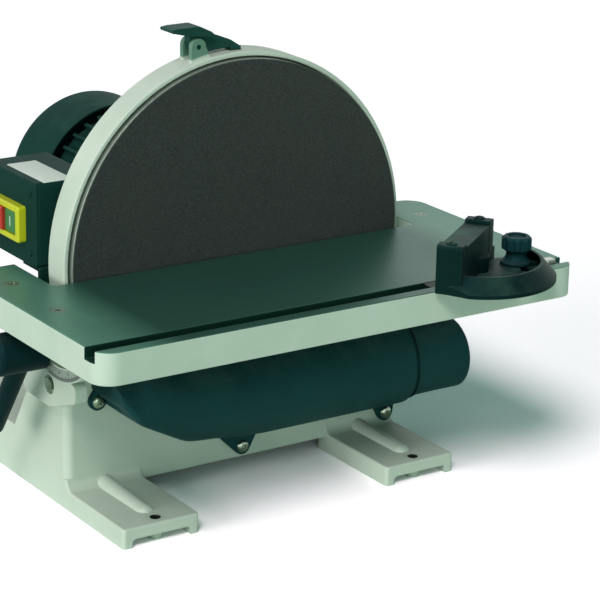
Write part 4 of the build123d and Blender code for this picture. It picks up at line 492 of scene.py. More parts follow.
def abrasive_grit():
    """Dark grey abrasive grains on cloth, with the paler cut edge of the sheet."""
    material, tree, shader = start_finish("abrasive_grit", Specular_IOR_Level=0.3)
    place = own_place(tree)
    grains = put(tree, "ShaderNodeTexVoronoi", {"Vector": place, "Scale": 1500.0, "Randomness": 1.0}).outputs
    clumps = noise(tree, place, 420.0, 3.0)
    clouds = noise(tree, place, 16.0, 4.0)
    pick = put(tree, "ShaderNodeSeparateColor", {"Color": grains["Color"]}).outputs
    colour = blend(tree, pick[0], GRIT_LOW, GRIT_HIGH)
    colour = blend(tree, steps(tree, pick[1], 0.0, 0.7, 0.86, 1.0), colour, GRIT_BRIGHT)
    colour = blend(tree, steps(tree, clumps, 0.0, 0.5, 0.5, 0.8), colour, GRIT_CLUMP)
    colour = blend(tree, steps(tree, clouds, 0.0, 0.22, 0.4, 0.7), colour, GRIT_CLOUD)
    rim = sums(tree, "GREATER_THAN", off_disc_axis(tree, place), (DISC_R - SHEET_RIM) * MM)
    colour = blend(tree, times(tree, rim, 0.55), colour, GRIT_RIM)
    join_finish(
        tree, shader, None, sums(tree, "ADD", grains["Distance"], clumps), depth=0.00035, strength=0.7,
        Base_Color=colour, Roughness=steps(tree, pick[2], 0.55, 0.9),
    )
    return material


def moulded_plastic(name, low, high, sheen, tint, level):
    """Moulded plastic: fine spark-eroded grain, a clouded sheen and rubbed edges."""
    material, tree, shader = start_finish(name, Specular_IOR_Level=level, Specular_Tint=tint)
    edge = use(tree, SOFT_EDGE, Radius=0.0009, Rub_Gain=4.0)
    skin = use(tree, CAST_SKIN, Lumps=70.0, Grain=1400.0, Grain_Share=0.8)
    dust = use(tree, DUST_AND_SHEEN, Amount=0.05)
    colour = blend(tree, skin["Tone"], low, high)
    worn = tone(*[0.75 * c + 0.06 for c in high[:3]])
    colour = blend(tree, times(tree, edge["Rub"], 0.1), colour, worn)
    colour = blend(tree, dust["Mask"], colour, DUST)
    rough = steps(tree, skin["Tone"], sheen - 0.05, sheen + 0.08)
    join_finish(
        tree, shader, edge["Normal"], skin["Height"], depth=0.00005, strength=0.4,
        Base_Color=colour, Roughness=rough,
    )
    return material


def dark_paint(name, low, high, sheen, level, dust_sheen_amount):
    """Dark enamel on steel or iron: orange peel, rubbed edges, and settled dust that also paints a sheen on the
    tops.
    """
    material, tree, shader = start_finish(name, Specular_IOR_Level=level, Specular_Tint=TEAL_TINT)
    edge = use(tree, SOFT_EDGE, Radius=0.0011, Rub_Gain=4.0)
    skin = use(tree, CAST_SKIN, Lumps=420.0, Grain=1600.0, Grain_Share=0.3)
    dust = use(tree, DUST_AND_SHEEN, Amount=dust_sheen_amount)
    colour = blend(tree, skin["Tone"], low, high)
    worn = tone(*[1.6 * c + 0.035 for c in high[:3]])
    colour = blend(tree, times(tree, edge["Rub"], 0.45), colour, worn)
    # Dust and painted sheen: tops that face up are made lighter and greener
    colour = blend(tree, dust["Mask"], colour, DARK_PAINT_DUST_SHEEN)
    rough = sums(tree, "ADD", steps(tree, skin["Tone"], sheen - 0.05, sheen + 0.07),
                 times(tree, dust["Mask"], 0.3))
    join_finish(
        tree, shader, edge["Normal"], skin["Height"], depth=0.00006, strength=0.4,
        Base_Color=colour, Roughness=rough,
    )
    return material


def bright_metal(name, low, high, sheen, stretch):
    """Plated or machined metal with fine tool lines and duller patches."""
    material, tree, shader = start_finish(name, Metallic=1.0)
    edge = use(tree, SOFT_EDGE, Radius=0.0004, Rub_Gain=4.0)
    lines = use(tree, TOOL_LINES, Stretch=stretch)
    skin = use(tree, CAST_SKIN, Lumps=300.0, Grain=1500.0, Grain_Share=0.4)
    colour = blend(tree, lines["Tone"], low, high)
    dull = tone(*[0.55 * c for c in low[:3]])
    colour = blend(tree, times(tree, skin["Tone"], 0.25), colour, dull)
    rough = sums(tree, "ADD", steps(tree, lines["Tone"], sheen - 0.06, sheen + 0.06),
                 times(tree, skin["Tone"], 0.08))
    join_finish(
        tree, shader, edge["Normal"], lines["Height"], depth=0.00004, strength=0.3,
        Base_Color=colour, Roughness=rough,
    )
    return material


def stacked_sheet():
    """Edges of thin steel sheets pressed together along the shaft."""
    material, tree, shader = start_finish("laminations", Metallic=0.8)
    bands = put(
        tree, "ShaderNodeTexWave",
        {"Vector": own_place(tree), "Scale": 320.0, "Distortion": 0.4, "Detail": 2.0},
        wave_type="BANDS", bands_direction="Y",
    ).outputs["Fac"]
    skin = use(tree, CAST_SKIN, Lumps=120.0, Grain=900.0, Grain_Share=0.3)
    colour = blend(tree, bands, SHEET_LOW, SHEET_HIGH)
    colour = blend(tree, times(tree, skin["Tone"], 0.3), colour, SHEET_RUST)
    join_finish(
        tree, shader, None, bands, depth=0.0002, strength=0.6,
        Base_Color=colour, Roughness=steps(tree, skin["Tone"], 0.45, 0.65),
    )
    return material


def copper_wire():
    """Varnished winding wire laid round the stator's ends."""
    material, tree, shader = start_finish("copper_wire", Metallic=0.85)
    strands = put(
        tree, "ShaderNodeTexWave",
        {"Vector": own_place(tree), "Scale": 190.0, "Distortion": 1.6, "Detail": 2.0},
        wave_type="RINGS", rings_direction="Y",
    ).outputs["Fac"]
    skin = use(tree, CAST_SKIN, Lumps=260.0, Grain=1200.0, Grain_Share=0.3)
    join_finish(
        tree, shader, None, strands, depth=0.0004, strength=0.7,
        Base_Color=blend(tree, strands, WIRE_LOW, WIRE_HIGH), Roughness=steps(tree, skin["Tone"], 0.25, 0.45),
    )
    return material


def lining_fibre():
    """Brown friction lining with short pale fibres."""
    material, tree, shader = start_finish("brake_lining", Specular_IOR_Level=0.2)
    fibres = noise(tree, own_place(tree), 900.0, 5.0, Distortion=2.0)
    colour = blend(tree, steps(tree, fibres, 0.0, 1.0, 0.4, 0.65), LINING_LOW, LINING_HIGH)
    join_finish(
        tree, shader, None, fibres, depth=0.0002, strength=0.6,
        Base_Color=colour, Roughness=steps(tree, fibres, 0.7, 0.95),
    )
    return material


def printed_card(name, low, high):
    """Printed label or ink: faint paper clouding and a soft gloss."""
    material, tree, shader = start_finish(name, Specular_IOR_Level=0.4)
    skin = use(tree, CAST_SKIN, Lumps=240.0, Grain=1500.0, Grain_Share=0.6)
    join_finish(
        tree, shader, None, skin["Height"], depth=0.00002, strength=0.3,
        Base_Color=blend(tree, skin["Tone"], low, high), Roughness=steps(tree, skin["Tone"], 0.38, 0.52),
    )
    return material


# Plastics: low and high colour, sheen, tint and level of the reflection
PLASTICS = {
    # The shroud's black plastic is made lighter, as painted light in its shade; the levers' plastic is the same
    # plastic made darker, as painted shade on the lit levers, and their caps and the port seam use it too
    "black_plastic": ((0.011, 0.050, 0.056), (0.014, 0.062, 0.068), 0.48, TEAL_TINT, 0.08),
    "lever_plastic": ((0.0026, 0.014, 0.017), (0.0036, 0.018, 0.022), 0.44, TEAL_TINT, 0.08),
    "knob_plastic": ((0.0065, 0.034, 0.040), (0.0085, 0.042, 0.050), 0.44, TEAL_TINT, 0.08),
    "yellow_plastic": ((0.50, 0.53, 0.012), (0.60, 0.62, 0.018), 0.34, WHITE, 0.3),
    "green_plastic": ((0.032, 0.165, 0.045), (0.046, 0.210, 0.060), 0.28, WHITE, 0.3),
    "red_plastic": ((0.42, 0.03, 0.02), (0.52, 0.04, 0.03), 0.28, WHITE, 0.4),
}
# Enamels: low and high colour, sheen, level of the reflection, and amount of dust with painted sheen on the
# tops
ENAMELS = {
    "black_paint": ((0.0022, 0.011, 0.011), (0.0035, 0.016, 0.015), 0.42, 0.09, 0.45),
    "green_paint": ((0.006, 0.031, 0.027), (0.008, 0.040, 0.034), 0.48, 0.03, 0.15),
    # The brake lever's enamel is the green enamel made lighter: painted light on the lever
    "brake_paint": ((0.013, 0.056, 0.046), (0.018, 0.070, 0.058), 0.45, 0.05, 0.2),
}
# Metals: low and high colour, sheen and how the tool lines stretch
METALS = {
    "cast_aluminium": ((0.34, 0.40, 0.36), (0.46, 0.52, 0.47), 0.46, (60.0, 700.0, 60.0)),
    "steel": ((0.50, 0.54, 0.49), (0.68, 0.71, 0.64), 0.30, (300.0, 300.0, 300.0)),
    "scale_plate": ((0.46, 0.52, 0.48), (0.64, 0.70, 0.66), 0.5, (500.0, 500.0, 500.0)),
    "dull_screw": ((0.13, 0.20, 0.16), (0.26, 0.34, 0.28), 0.36, (900.0, 900.0, 900.0)),
    "plated_screw": ((0.24, 0.32, 0.25), (0.46, 0.54, 0.43), 0.26, (900.0, 900.0, 900.0)),
    # The mitre bar's steel is made nearly black: painted shade for the bar down in its slot
    "dark_bar": ((0.018, 0.034, 0.029), (0.035, 0.056, 0.048), 0.45, (8.0, 700.0, 700.0)),
}
# Printed cards and inks: low and high colour
CARDS = {
    "label_card": ((0.69, 0.76, 0.725), (0.77, 0.82, 0.79)),
    "dark_ink": ((0.030, 0.030, 0.034), (0.055, 0.050, 0.058)),
    "pale_ink": ((0.44, 0.52, 0.47), (0.54, 0.61, 0.56)),
    "cast_mark": ((0.020, 0.050, 0.048), (0.034, 0.075, 0.070)),
}
FINISH = {
    "pale_paint": pale_paint(), "ground_iron": table_finish(), "abrasive": abrasive_grit(),
    "laminations": stacked_sheet(), "copper": copper_wire(), "brake_lining": lining_fibre(),
}
for recipe, table in (
    (moulded_plastic, PLASTICS), (dark_paint, ENAMELS), (bright_metal, METALS), (printed_card, CARDS),
):
    for finish_name, (low_colour, high_colour, *values) in table.items():
        FINISH[finish_name] = recipe(finish_name, tone(*low_colour), tone(*high_colour), *values)
OWN_FINISH = {
    "brake_lever": "brake_paint", "brake_pin": "green_paint", "mitre_bar": "dark_bar",
    "mitre_knob": "knob_plastic", "trunnion_bolts": "plated_screw",
    "lock_lever_left": "lever_plastic", "lock_lever_right": "lever_plastic",
}


def dress_nodes():
    """Give every CAD node its own finish or the finish of its slot."""
    slots = {row["node"]: row["material_slot"] for row in frame["record"]["subparts"]}
    for name, node in NODES.items():
        finish = FINISH[OWN_FINISH.get(name, slots[name])]
        if not node.material_slots:
            node.data.materials.append(finish)
        for slot in node.material_slots:
            slot.material = finish


# Mesh helpers

def scaled(points):
    """Millimetres to metres."""
    return [tuple(MM * c for c in p) for p in points]


def add_object(name, data):
    """A new object in the scene."""
    item = bpy.data.objects.new(name, data)
    bpy.context.scene.collection.objects.link(item)
    return item


def place_piece(name, mesh, body, finish, replaces=None):
    """Make a mesh a piece of the machine, in one finish."""
    mesh.name = name
    mesh.materials.clear()
    mesh.materials.append(FINISH[finish])
    piece = add_object(name, mesh)
    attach(piece, body)
    if replaces:
        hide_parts(replaces)


def as_mesh(maker):
    """Turn an object with live modifiers into a plain mesh and remove the object."""
    bpy.context.view_layer.update()
    depsgraph = bpy.context.evaluated_depsgraph_get()
    mesh = bpy.data.meshes.new_from_object(
        maker.evaluated_get(depsgraph), preserve_all_data_layers=True, depsgraph=depsgraph,
    )
    bpy.data.objects.remove(maker)
    return mesh


def smooth(mesh, angle=32.0):
    """Smooth shading, kept sharp over the given angle."""
    for face in mesh.polygons:
        face.use_smooth = True
    mesh.set_sharp_from_angle(angle=radians(angle))
    return mesh


def plain_mesh(shape, name):
    """A bmesh as a mesh, just as it is."""
    mesh = bpy.data.meshes.new(name)
    shape.to_mesh(mesh)
    shape.free()
    return mesh


def to_mesh(shape, name, angle=32.0):
    """A bmesh as a smooth mesh with outward normals."""
    bmesh.ops.remove_doubles(shape, verts=shape.verts, dist=1e-6)
    bmesh.ops.recalc_face_normals(shape, faces=shape.faces)
    return smooth(plain_mesh(shape, name), angle)


def turned(profile, segments=32):
    """Spin a profile of (radius, height) points in millimetres round Z."""
    shape = bmesh.new()
    verts = [shape.verts.new((r * MM, 0.0, z * MM)) for r, z in profile]
    edges = [shape.edges.new(pair) for pair in zip(verts, verts[1:])]
    bmesh.ops.spin(
        shape, geom=verts + edges, cent=(0, 0, 0), axis=(0, 0, 1), angle=2 * pi, steps=segments,
        use_merge=True,
    )
    bmesh.ops.remove_doubles(shape, verts=shape.verts, dist=1e-7)
    loose = [e for e in shape.edges if not e.link_faces]
    bmesh.ops.delete(shape, geom=loose, context="EDGES")
    return shape


def slab(points, low, high, rim=0.0):
    """A flat plate of (x, y) points between two heights in millimetres, with a small rim bevel on top."""
    shape = bmesh.new()
    base = shape.faces.new([shape.verts.new((x * MM, y * MM, low * MM)) for x, y in points])
    grown = bmesh.ops.extrude_face_region(shape, geom=[base])
    raised = [g for g in grown["geom"] if isinstance(g, bmesh.types.BMVert)]
    bmesh.ops.translate(shape, verts=raised, vec=(0, 0, (high - low) * MM))
    if rim:
        top = [g for g in grown["geom"] if isinstance(g, bmesh.types.BMEdge)]
        bmesh.ops.bevel(shape, geom=top, offset=rim * MM, segments=2, profile=0.6, affect="EDGES")
    return shape


def round_corners(x0, x1, y0, y1, radius, count=6):
    """Corner points of a rounded rectangle."""
    points = []
    for cx, cy, start in (
        (x1 - radius, y0 + radius, -90), (x1 - radius, y1 - radius, 0),
        (x0 + radius, y1 - radius, 90), (x0 + radius, y0 + radius, 180),
    ):
        for k in range(count + 1):
            a = radians(start + 90.0 * k / count)
            points.append((cx + radius * cos(a), cy + radius * sin(a)))
    return points


# Repeats with Geometry Nodes

def repeat_tree(name, inputs):
    """An empty tree with named inputs. Returns the tree, its socket identifiers and its given values."""
    tree = bpy.data.node_groups.new(name, "GeometryNodeTree")
    sockets = {}
    for label, kind in inputs:
        sockets[label] = tree.interface.new_socket(label, in_out="INPUT", socket_type=kind).identifier
    tree.interface.new_socket("Pieces", in_out="OUTPUT", socket_type="NodeSocketGeometry")
    return tree, sockets, tree.nodes.new("NodeGroupInput").outputs


def end_tree(tree, instances, finish):
    """Make the instances real, in their finish."""
    real = put(tree, "GeometryNodeRealizeInstances", {"Geometry": instances}).outputs["Geometry"]
    dressed = put(tree, "GeometryNodeSetMaterial", {"Geometry": real, "Material": finish})
    put(tree, "NodeGroupOutput", {"Pieces": dressed.outputs["Geometry"]})


def repeat(name, mesh, tree, sockets, values):
    """Run a tree on a mesh, with values for its named inputs, and return the plain result."""
    maker = add_object(name, mesh)
    modifier = maker.modifiers.new(name, "NODES")
    modifier.node_group = tree
    for label, value in values.items():
        modifier[sockets[label]] = value
    return as_mesh(maker)


# Screws

def screw_tree():
    """One screw on each point, its head turned along the point's way, at a random turn."""
    tree, sockets, given = repeat_tree("screw_set", (
        ("Places", "NodeSocketGeometry"), ("Screw", "NodeSocketObject"),
        ("Finish", "NodeSocketMaterial"), ("Seed", "NodeSocketInt"),
    ))
    way = put(tree, "GeometryNodeInputNamedAttribute", {"Name": "way"}, data_type="FLOAT_VECTOR")
    aim = put(tree, "FunctionNodeAlignRotationToVector", {"Vector": way.outputs["Attribute"]}, axis="Z")
    blank = put(tree, "GeometryNodeObjectInfo", {"Object": given["Screw"]})
    stood = put(tree, "GeometryNodeInstanceOnPoints", {
        "Points": given["Places"], "Instance": blank.outputs["Geometry"], "Rotation": aim.outputs["Rotation"],
    })
    turn = put(tree, "FunctionNodeRandomValue", {
        "Min": (0.0, 0.0, 0.0), "Max": (0.0, 0.0, pi), "Seed": given["Seed"],
    }, data_type="FLOAT_VECTOR")
    spun = put(tree, "GeometryNodeRotateInstances", {
        "Instances": stood.outputs["Instances"], "Rotation": turn.outputs["Value"],
    })
    end_tree(tree, spun.outputs["Instances"], given["Finish"])
    return tree, sockets


def recess_cutter(radius, top, bars):
    """A tapered cross for two bars, or a plain slot for one, to cut a driver recess."""
    half = radius * RECESS_HALF
    depth = radius * RECESS_DEPTH
    if bars == 2:
        reach = radius * CROSS_REACH
        plan = [
            (half, -reach), (half, -half), (reach, -half), (reach, half), (half, half), (half, reach),
            (-half, reach), (-half, half), (-reach, half), (-reach, -half), (-half, -half), (-half, -reach),
        ]
    else:
        reach = radius * SLOT_REACH
        plan = [(reach, -half), (reach, half), (-reach, half), (-reach, -half)]
    shape = slab(plan, top - depth, top + RECESS_OVERCUT)
    for vert in shape.verts:
        if vert.co.z < (top - depth / 2) * MM and bars == 2:
            vert.co.x *= CROSS_TAPER
            vert.co.y *= CROSS_TAPER
    return to_mesh(shape, "recess")


def screw_blank(name, profile, radius, top, bars):
    """One screw turned from its profile, with its driver recess cut in."""
    body = add_object(name, to_mesh(turned(profile), name))
    tool = add_object(name + "_recess", recess_cutter(radius, top, bars))
    cut = body.modifiers.new("recess", "BOOLEAN")
    cut.operation = "DIFFERENCE"
    cut.solver = "EXACT"
    cut.object = tool
    mesh = as_mesh(body)
    bpy.data.objects.remove(tool)
    return add_object(name, smooth(mesh))


def pan_head(head_r, head_h, shank_r, length):
    """Pan head screw with its head above zero: its profile, head radius and top."""
    profile = [
        (0, head_h), (0.42 * head_r, head_h * 0.97), (0.7 * head_r, head_h * 0.86),
        (0.9 * head_r, head_h * 0.62), (head_r, head_h * 0.3), (head_r, 0.12), (head_r - 0.15, 0),
        (shank_r, 0), (shank_r, -length + 0.4), (shank_r - 0.4, -length), (0, -length),
    ]
    return profile, head_r, head_h


def sunk_head(head_r, shank_r, length):
    """Countersunk screw with its head flush at zero: its profile, head radius and top."""
    cone = head_r - shank_r
    profile = [
        (0, SUNK_LEVEL), (head_r - 0.35, SUNK_LEVEL), (head_r - 0.1, -0.35), (shank_r, -cone - 0.1),
        (shank_r, -length + 0.4), (shank_r - 0.4, -length), (0, -length),
    ]
    return profile, head_r, SUNK_LEVEL


def screw_set(name, body, blank, places, finish, seed):
    """Put a screw at each place and replace the plain CAD screws of the same name."""
    carrier = bpy.data.meshes.new(name + "_places")
    carrier.from_pydata(scaled(p for p, _ in places), [], [])
    ways = carrier.attributes.new("way", "FLOAT_VECTOR", "POINT")
    ways.data.foreach_set("vector", [c for _, way in places for c in way])
    values = {"Screw": blank, "Finish": FINISH[finish], "Seed": seed}
    mesh = smooth(repeat(name + "_maker", carrier, SCREW_TREE, SCREW_SOCKETS, values))
    bpy.data.objects.remove(blank)
    place_piece(name + "_dressed", mesh, body, finish, name)


SCREW_TREE, SCREW_SOCKETS = screw_tree()


def all_screws():
    """Every recessed screw on the machine."""
    front, back, left, up, down = (0, -1, 0), (0, 1, 0), (-1, 0, 0), (0, 0, 1), (0, 0, -1)
    cowl = []
    for angle in COWL_SCREW_ANGLES:
        across, rise = cos(radians(angle)), sin(radians(angle))
        spot = (COWL_SCREW_R * across, COWL_SCREW_Y, DISC_AXIS_Z + COWL_SCREW_R * rise)
        cowl.append((spot, (across, 0, rise)))
    fence = []
    for x in FENCE_SCREW_X:
        spot = Matrix.Rotation(radians(GAUGE_ANGLE), 3, "Z") @ Vector((x, FENCE_SCREW_Y, 0.0))
        fence.append(((GAUGE_PIVOT[0] + spot.x, GAUGE_PIVOT[1] + spot.y, GAUGE_FLOOR + FENCE_SCREW_LIFT), up))
    for name, body, form, bars, finish, seed, places in (
        ("cover_screws", "base", pan_head(5.4, 3.2, 2.5, 11.9), 2, "plated_screw", 3, [
            ((x, -72.4, z), front) for x, z in ((-130.5, 88.0), (5.0, 23.1), (150.0, 25.3))]),
        ("table_screws", "table", sunk_head(6.5, 3.0, 15.9), 2, "dull_screw", 8, [
            ((x, y, TABLE_TOP), up) for x in (-195.0, 195.0) for y in (-127.6, -53.0)]),
        ("plate_screws", "base", pan_head(2.4, 1.4, 1.8, 9.9), 2, "green_paint", 5, [
            ((-162.6, y, z), left) for y in (-23.0, 42.0) for z in (202.0, 250.2)]),
        ("small_screws", "base", pan_head(5.0, 2.5, 2.5, 5.8), 2, "plated_screw", 2, [
            ((-142.6, -29.6, 174.0), back), ((-148.6, -19.0, 188.6), down), ((-132.6, -19.0, 188.6), down)]),
        ("cowl_screws", "base", pan_head(4.0, 2.0, 2.0, 10.9), 2, "plated_screw", 6, cowl),
        ("fence_screws", "mitre_head", pan_head(4.4, 1.8, 2.5, 10.9), 1, "black_paint", 4, fence),
    ):
        screw_set(name, body, screw_blank(name[:-1], *form, bars), places, finish, seed)


# Scales

def graduation_tree():
    """Radial marks inside a circle, longer at every nth, laid down a slope."""
    tree, sockets, given = repeat_tree("graduations", (
        ("Marks", "NodeSocketInt"), ("Every", "NodeSocketInt"), ("Start", FLOAT), ("Step", FLOAT),
        ("Edge", FLOAT), ("Short", FLOAT), ("Long", FLOAT), ("Width", FLOAT), ("Thick", FLOAT),
        ("Slope", FLOAT), ("Finish", "NodeSocketMaterial"),
    ))
    line = put(tree, "GeometryNodeMeshLine", {"Count": given["Marks"], "Offset": (0.0, 0.0, 0.0)})
    index = put(tree, "GeometryNodeInputIndex").outputs["Index"]
    angle = sums(tree, "ADD", given["Start"], times(tree, given["Step"], index))
    major = sums(tree, "LESS_THAN", sums(tree, "MODULO", index, given["Every"]), 0.5)
    extra = times(tree, major, sums(tree, "SUBTRACT", given["Long"], given["Short"]))
    length = sums(tree, "ADD", given["Short"], extra)
    half = times(tree, length, 0.5)
    inwards = times(tree, half, sums(tree, "COSINE", given["Slope"]))
    reach = sums(tree, "SUBTRACT", given["Edge"], inwards)
    rise = times(tree, half, sums(tree, "SINE", given["Slope"]))
    spot = put(tree, "ShaderNodeCombineXYZ", {
        "X": times(tree, reach, sums(tree, "COSINE", angle)),
        "Y": times(tree, reach, sums(tree, "SINE", angle)), "Z": rise,
    })
    placed = put(tree, "GeometryNodeSetPosition", {
        "Geometry": line.outputs["Mesh"], "Position": spot.outputs[0],
    })
    aim = put(tree, "ShaderNodeCombineXYZ", {"Y": given["Slope"], "Z": angle})
    size = put(tree, "ShaderNodeCombineXYZ", {"X": length, "Y": given["Width"], "Z": given["Thick"]})
    bar = put(tree, "GeometryNodeMeshCube", {"Size": (1.0, 1.0, 1.0)})
    marks = put(tree, "GeometryNodeInstanceOnPoints", {
        "Points": placed.outputs["Geometry"], "Instance": bar.outputs["Mesh"], "Scale": size.outputs[0],
        "Rotation": aim.outputs[0],
    })
    end_tree(tree, marks.outputs["Instances"], given["Finish"])
    return tree, sockets


SCALE_TREE, SCALE_SOCKETS = graduation_tree()


def graduations(**values):
    """Marks of one scale as a mesh round the origin. Lengths in millimetres, angles in degrees."""
    for label, value in values.items():
        if label in ("Start", "Step", "Slope"):
            values[label] = radians(value)
        elif isinstance(value, float):
            values[label] = value * MM
    return repeat("scale_maker", bpy.data.meshes.new("scale_maker"), SCALE_TREE, SCALE_SOCKETS, values)


def figure(text, size, thick):
    """A plain number as a flat mesh centred on the origin."""
    curve = bpy.data.curves.new("figure", "FONT")
    curve.body = text
    curve.size = size * MM
    curve.extrude = thick * MM / 2
    curve.align_x = "CENTER"
    curve.align_y = "CENTER"
    return as_mesh(add_object("figure", curve))


def gather(parts, name):
    """Join (mesh, matrix) pairs in one mesh."""
    shape = bmesh.new()
    for mesh, place in parts:
        mesh.transform(place)
        shape.from_mesh(mesh)
        bpy.data.meshes.remove(mesh)
    return plain_mesh(shape, name)


def tilt_marks():
    """Degree marks and numbers on the tilt scale, read at the bracket's edge."""
    zero = 180.0 - TILT_ZERO_ANGLE
    marks = graduations(
        Marks=76, Every=5, Start=zero - TILT_LEAD_IN, Step=1.0, Edge=63.6, Short=2.6, Long=4.2, Width=0.45,
        Thick=INK_THICK, Slope=0.0, Finish=FINISH["dark_ink"],
    )
    parts = [(marks, Matrix())]
    for value in TILT_FIGURES:
        turn = radians(zero + value)
        spot = Matrix.Translation((TILT_FIGURE_R * MM * cos(turn), TILT_FIGURE_R * MM * sin(turn), 0.0))
        number = figure(str(value), TILT_FIGURE_SIZE, INK_THICK)
        parts.append((number, spot @ Matrix.Rotation(turn + pi / 2, 4, "Z")))
    mesh = gather(parts, "tilt_marks")
    face = Matrix(((0, 0, -1, 0), (-1, 0, 0, 0), (0, 1, 0, 0), (0, 0, 0, 1)))
    mesh.transform(Matrix.Translation((TILT_SCALE_X * MM, TILT_PIVOT[0] * MM, TILT_PIVOT[1] * MM)) @ face)
    place_piece("tilt_marks", mesh, "table", "dark_ink")


def gauge_marks():
    """Raised degree marks on the sloping band of the mitre gauge."""
    mesh = graduations(
        Marks=25, Every=3, Start=-150.0, Step=5.0, Edge=61.2, Short=4.5, Long=8.0, Width=0.45, Thick=0.25,
        Slope=47.6, Finish=FINISH["cast_mark"],
    )
    lift = GAUGE_FLOOR + GAUGE_BAND_LIFT
    place = Matrix.Translation((GAUGE_PIVOT[0] * MM, GAUGE_PIVOT[1] * MM, lift * MM))
    mesh.transform(place @ Matrix.Rotation(radians(GAUGE_ANGLE), 4, "Z"))
    place_piece("gauge_marks", mesh, "mitre_head", "cast_mark")


# Switch and lever trim

def switch_label():
    """Bare white label on top of the switch box."""
    shape = slab(round_corners(*LABEL_PLAN), *LABEL_HEIGHTS)
    place_piece("switch_label", to_mesh(shape, "switch_label"), "base", "label_card")


def button_marks():
    """The plain line of the start button and the ring of the stop button."""
    for name, shape in (
        ("start_button", slab(round_corners(*START_BAR_PLAN), *START_BAR_HEIGHTS)),
        ("stop_button", turned(STOP_RING)),
    ):
        low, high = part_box(name)
        mid = (low + high) / 2
        mesh = to_mesh(shape, name + "_mark")
        mesh.transform(Matrix(((0, 0, -1, low.x), (-1, 0, 0, mid.y), (0, 1, 0, mid.z), (0, 0, 0, 1))))
        place_piece(name + "_mark", mesh, name, "pale_ink")


def lever_caps():
    """Moulded centre cap and ring on the hub of each lock lever."""
    for side, body in ((-1, "lock_left"), (1, "lock_right")):
        mesh = to_mesh(turned(LEVER_CAP, LEVER_CAP_SEGMENTS), "lever_cap")
        mesh.transform(Matrix((
            (0, 0, side, side * LEVER_HUB_END * MM), (0, 1, 0, LOCK_STUD[0] * MM),
            (-side, 0, 0, LOCK_STUD[1] * MM), (0, 0, 0, 1),
        )))
        place_piece(body + "_cap", mesh, body, "lever_plastic")


# Dust shroud and brake

def eased(value, low, high):
    """Smooth step from zero at low to one at high."""
    share = min(1.0, max(0.0, (value - low) / (high - low)))
    return share * share * (3.0 - 2.0 * share)


def soften(shape, rounds):
    """Move each corner half way to the middle of its neighbours, some rounds over."""
    for _ in range(rounds):
        goals = []
        for vert in shape.verts:
            near = [edge.other_vert(vert).co for edge in vert.link_edges]
            goals.append(vert.co.lerp(sum(near, Vector()) / len(near), 0.5))
        for vert, goal in zip(shape.verts, goals):
            vert.co = goal


def shroud_bow(shape):
    """Round bow of the shroud's left end: the hull of its corners there, evened out and softened."""
    bow = bmesh.new()
    for vert in shape.verts:
        x, y, _ = vert.co / MM
        if BOW_LEFT < x < BOW_RIGHT and y < BOW_BACK:
            bow.verts.new(vert.co)
    hull = bmesh.ops.convex_hull(bow, input=bow.verts[:], use_existing_faces=False)
    spare = {item for key in ("geom_interior", "geom_unused") for item in hull[key]}
    inside = [item for item in spare if isinstance(item, bmesh.types.BMVert)]
    bmesh.ops.delete(bow, geom=inside, context="VERTS")
    holder = add_object("bow", plain_mesh(bow, "bow"))
    even = holder.modifiers.new("even", "REMESH")
    even.mode = "VOXEL"
    even.voxel_size = BOW_GRAIN * MM
    evened = as_mesh(holder)
    bow = bmesh.new()
    bow.from_mesh(evened)
    soften(bow, BOW_SOFTENING)
    bow.normal_update()
    for vert in bow.verts:
        sink = BOW_SINK * eased(vert.co.x / MM, BOW_RIGHT - BOW_SINK_LENGTH, BOW_RIGHT)
        vert.co += vert.normal * (BOW_SWELL - sink) * MM
    shape.from_mesh(plain_mesh(bow, "bow"))


def bead(path, radius, sides=8):
    """A round bead along a closed path of points in millimetres that runs round X."""
    shape = bmesh.new()
    rings = []
    for index, point in enumerate(path):
        along = (Vector(path[(index + 1) % len(path)]) - Vector(path[index - 1])).normalized()
        side = along.cross(Vector((1.0, 0.0, 0.0))).normalized()
        rise = along.cross(side)
        ring = []
        for step in range(sides):
            turn = 2 * pi * step / sides
            ring.append(shape.verts.new((Vector(point) + radius * (cos(turn) * side + sin(turn) * rise)) * MM))
        rings.append(ring)
    for index, ring in enumerate(rings):
        back = rings[index - 1]
        for step in range(sides):
            shape.faces.new((back[step - 1], back[step], ring[step], ring[step - 1]))
    return shape


def port_seam():
    """Raised seam where the round port leaves the shroud."""
    path = []
    for step in range(SEAM_STEPS):
        turn = 2 * pi * step / SEAM_STEPS
        ahead = SEAM_R * cos(turn)
        path.append((SEAM_X + SEAM_SLANT * (SEAM_R - ahead), DUCT_Y - ahead, DUCT_Z + SEAM_R * sin(turn)))
    mesh = to_mesh(bead(path, SEAM_BEAD), "port_seam")
    # The seam's bead is in the darker copy of the plastic: painted shade along the seam
    place_piece("port_seam", mesh, "base", "lever_plastic")


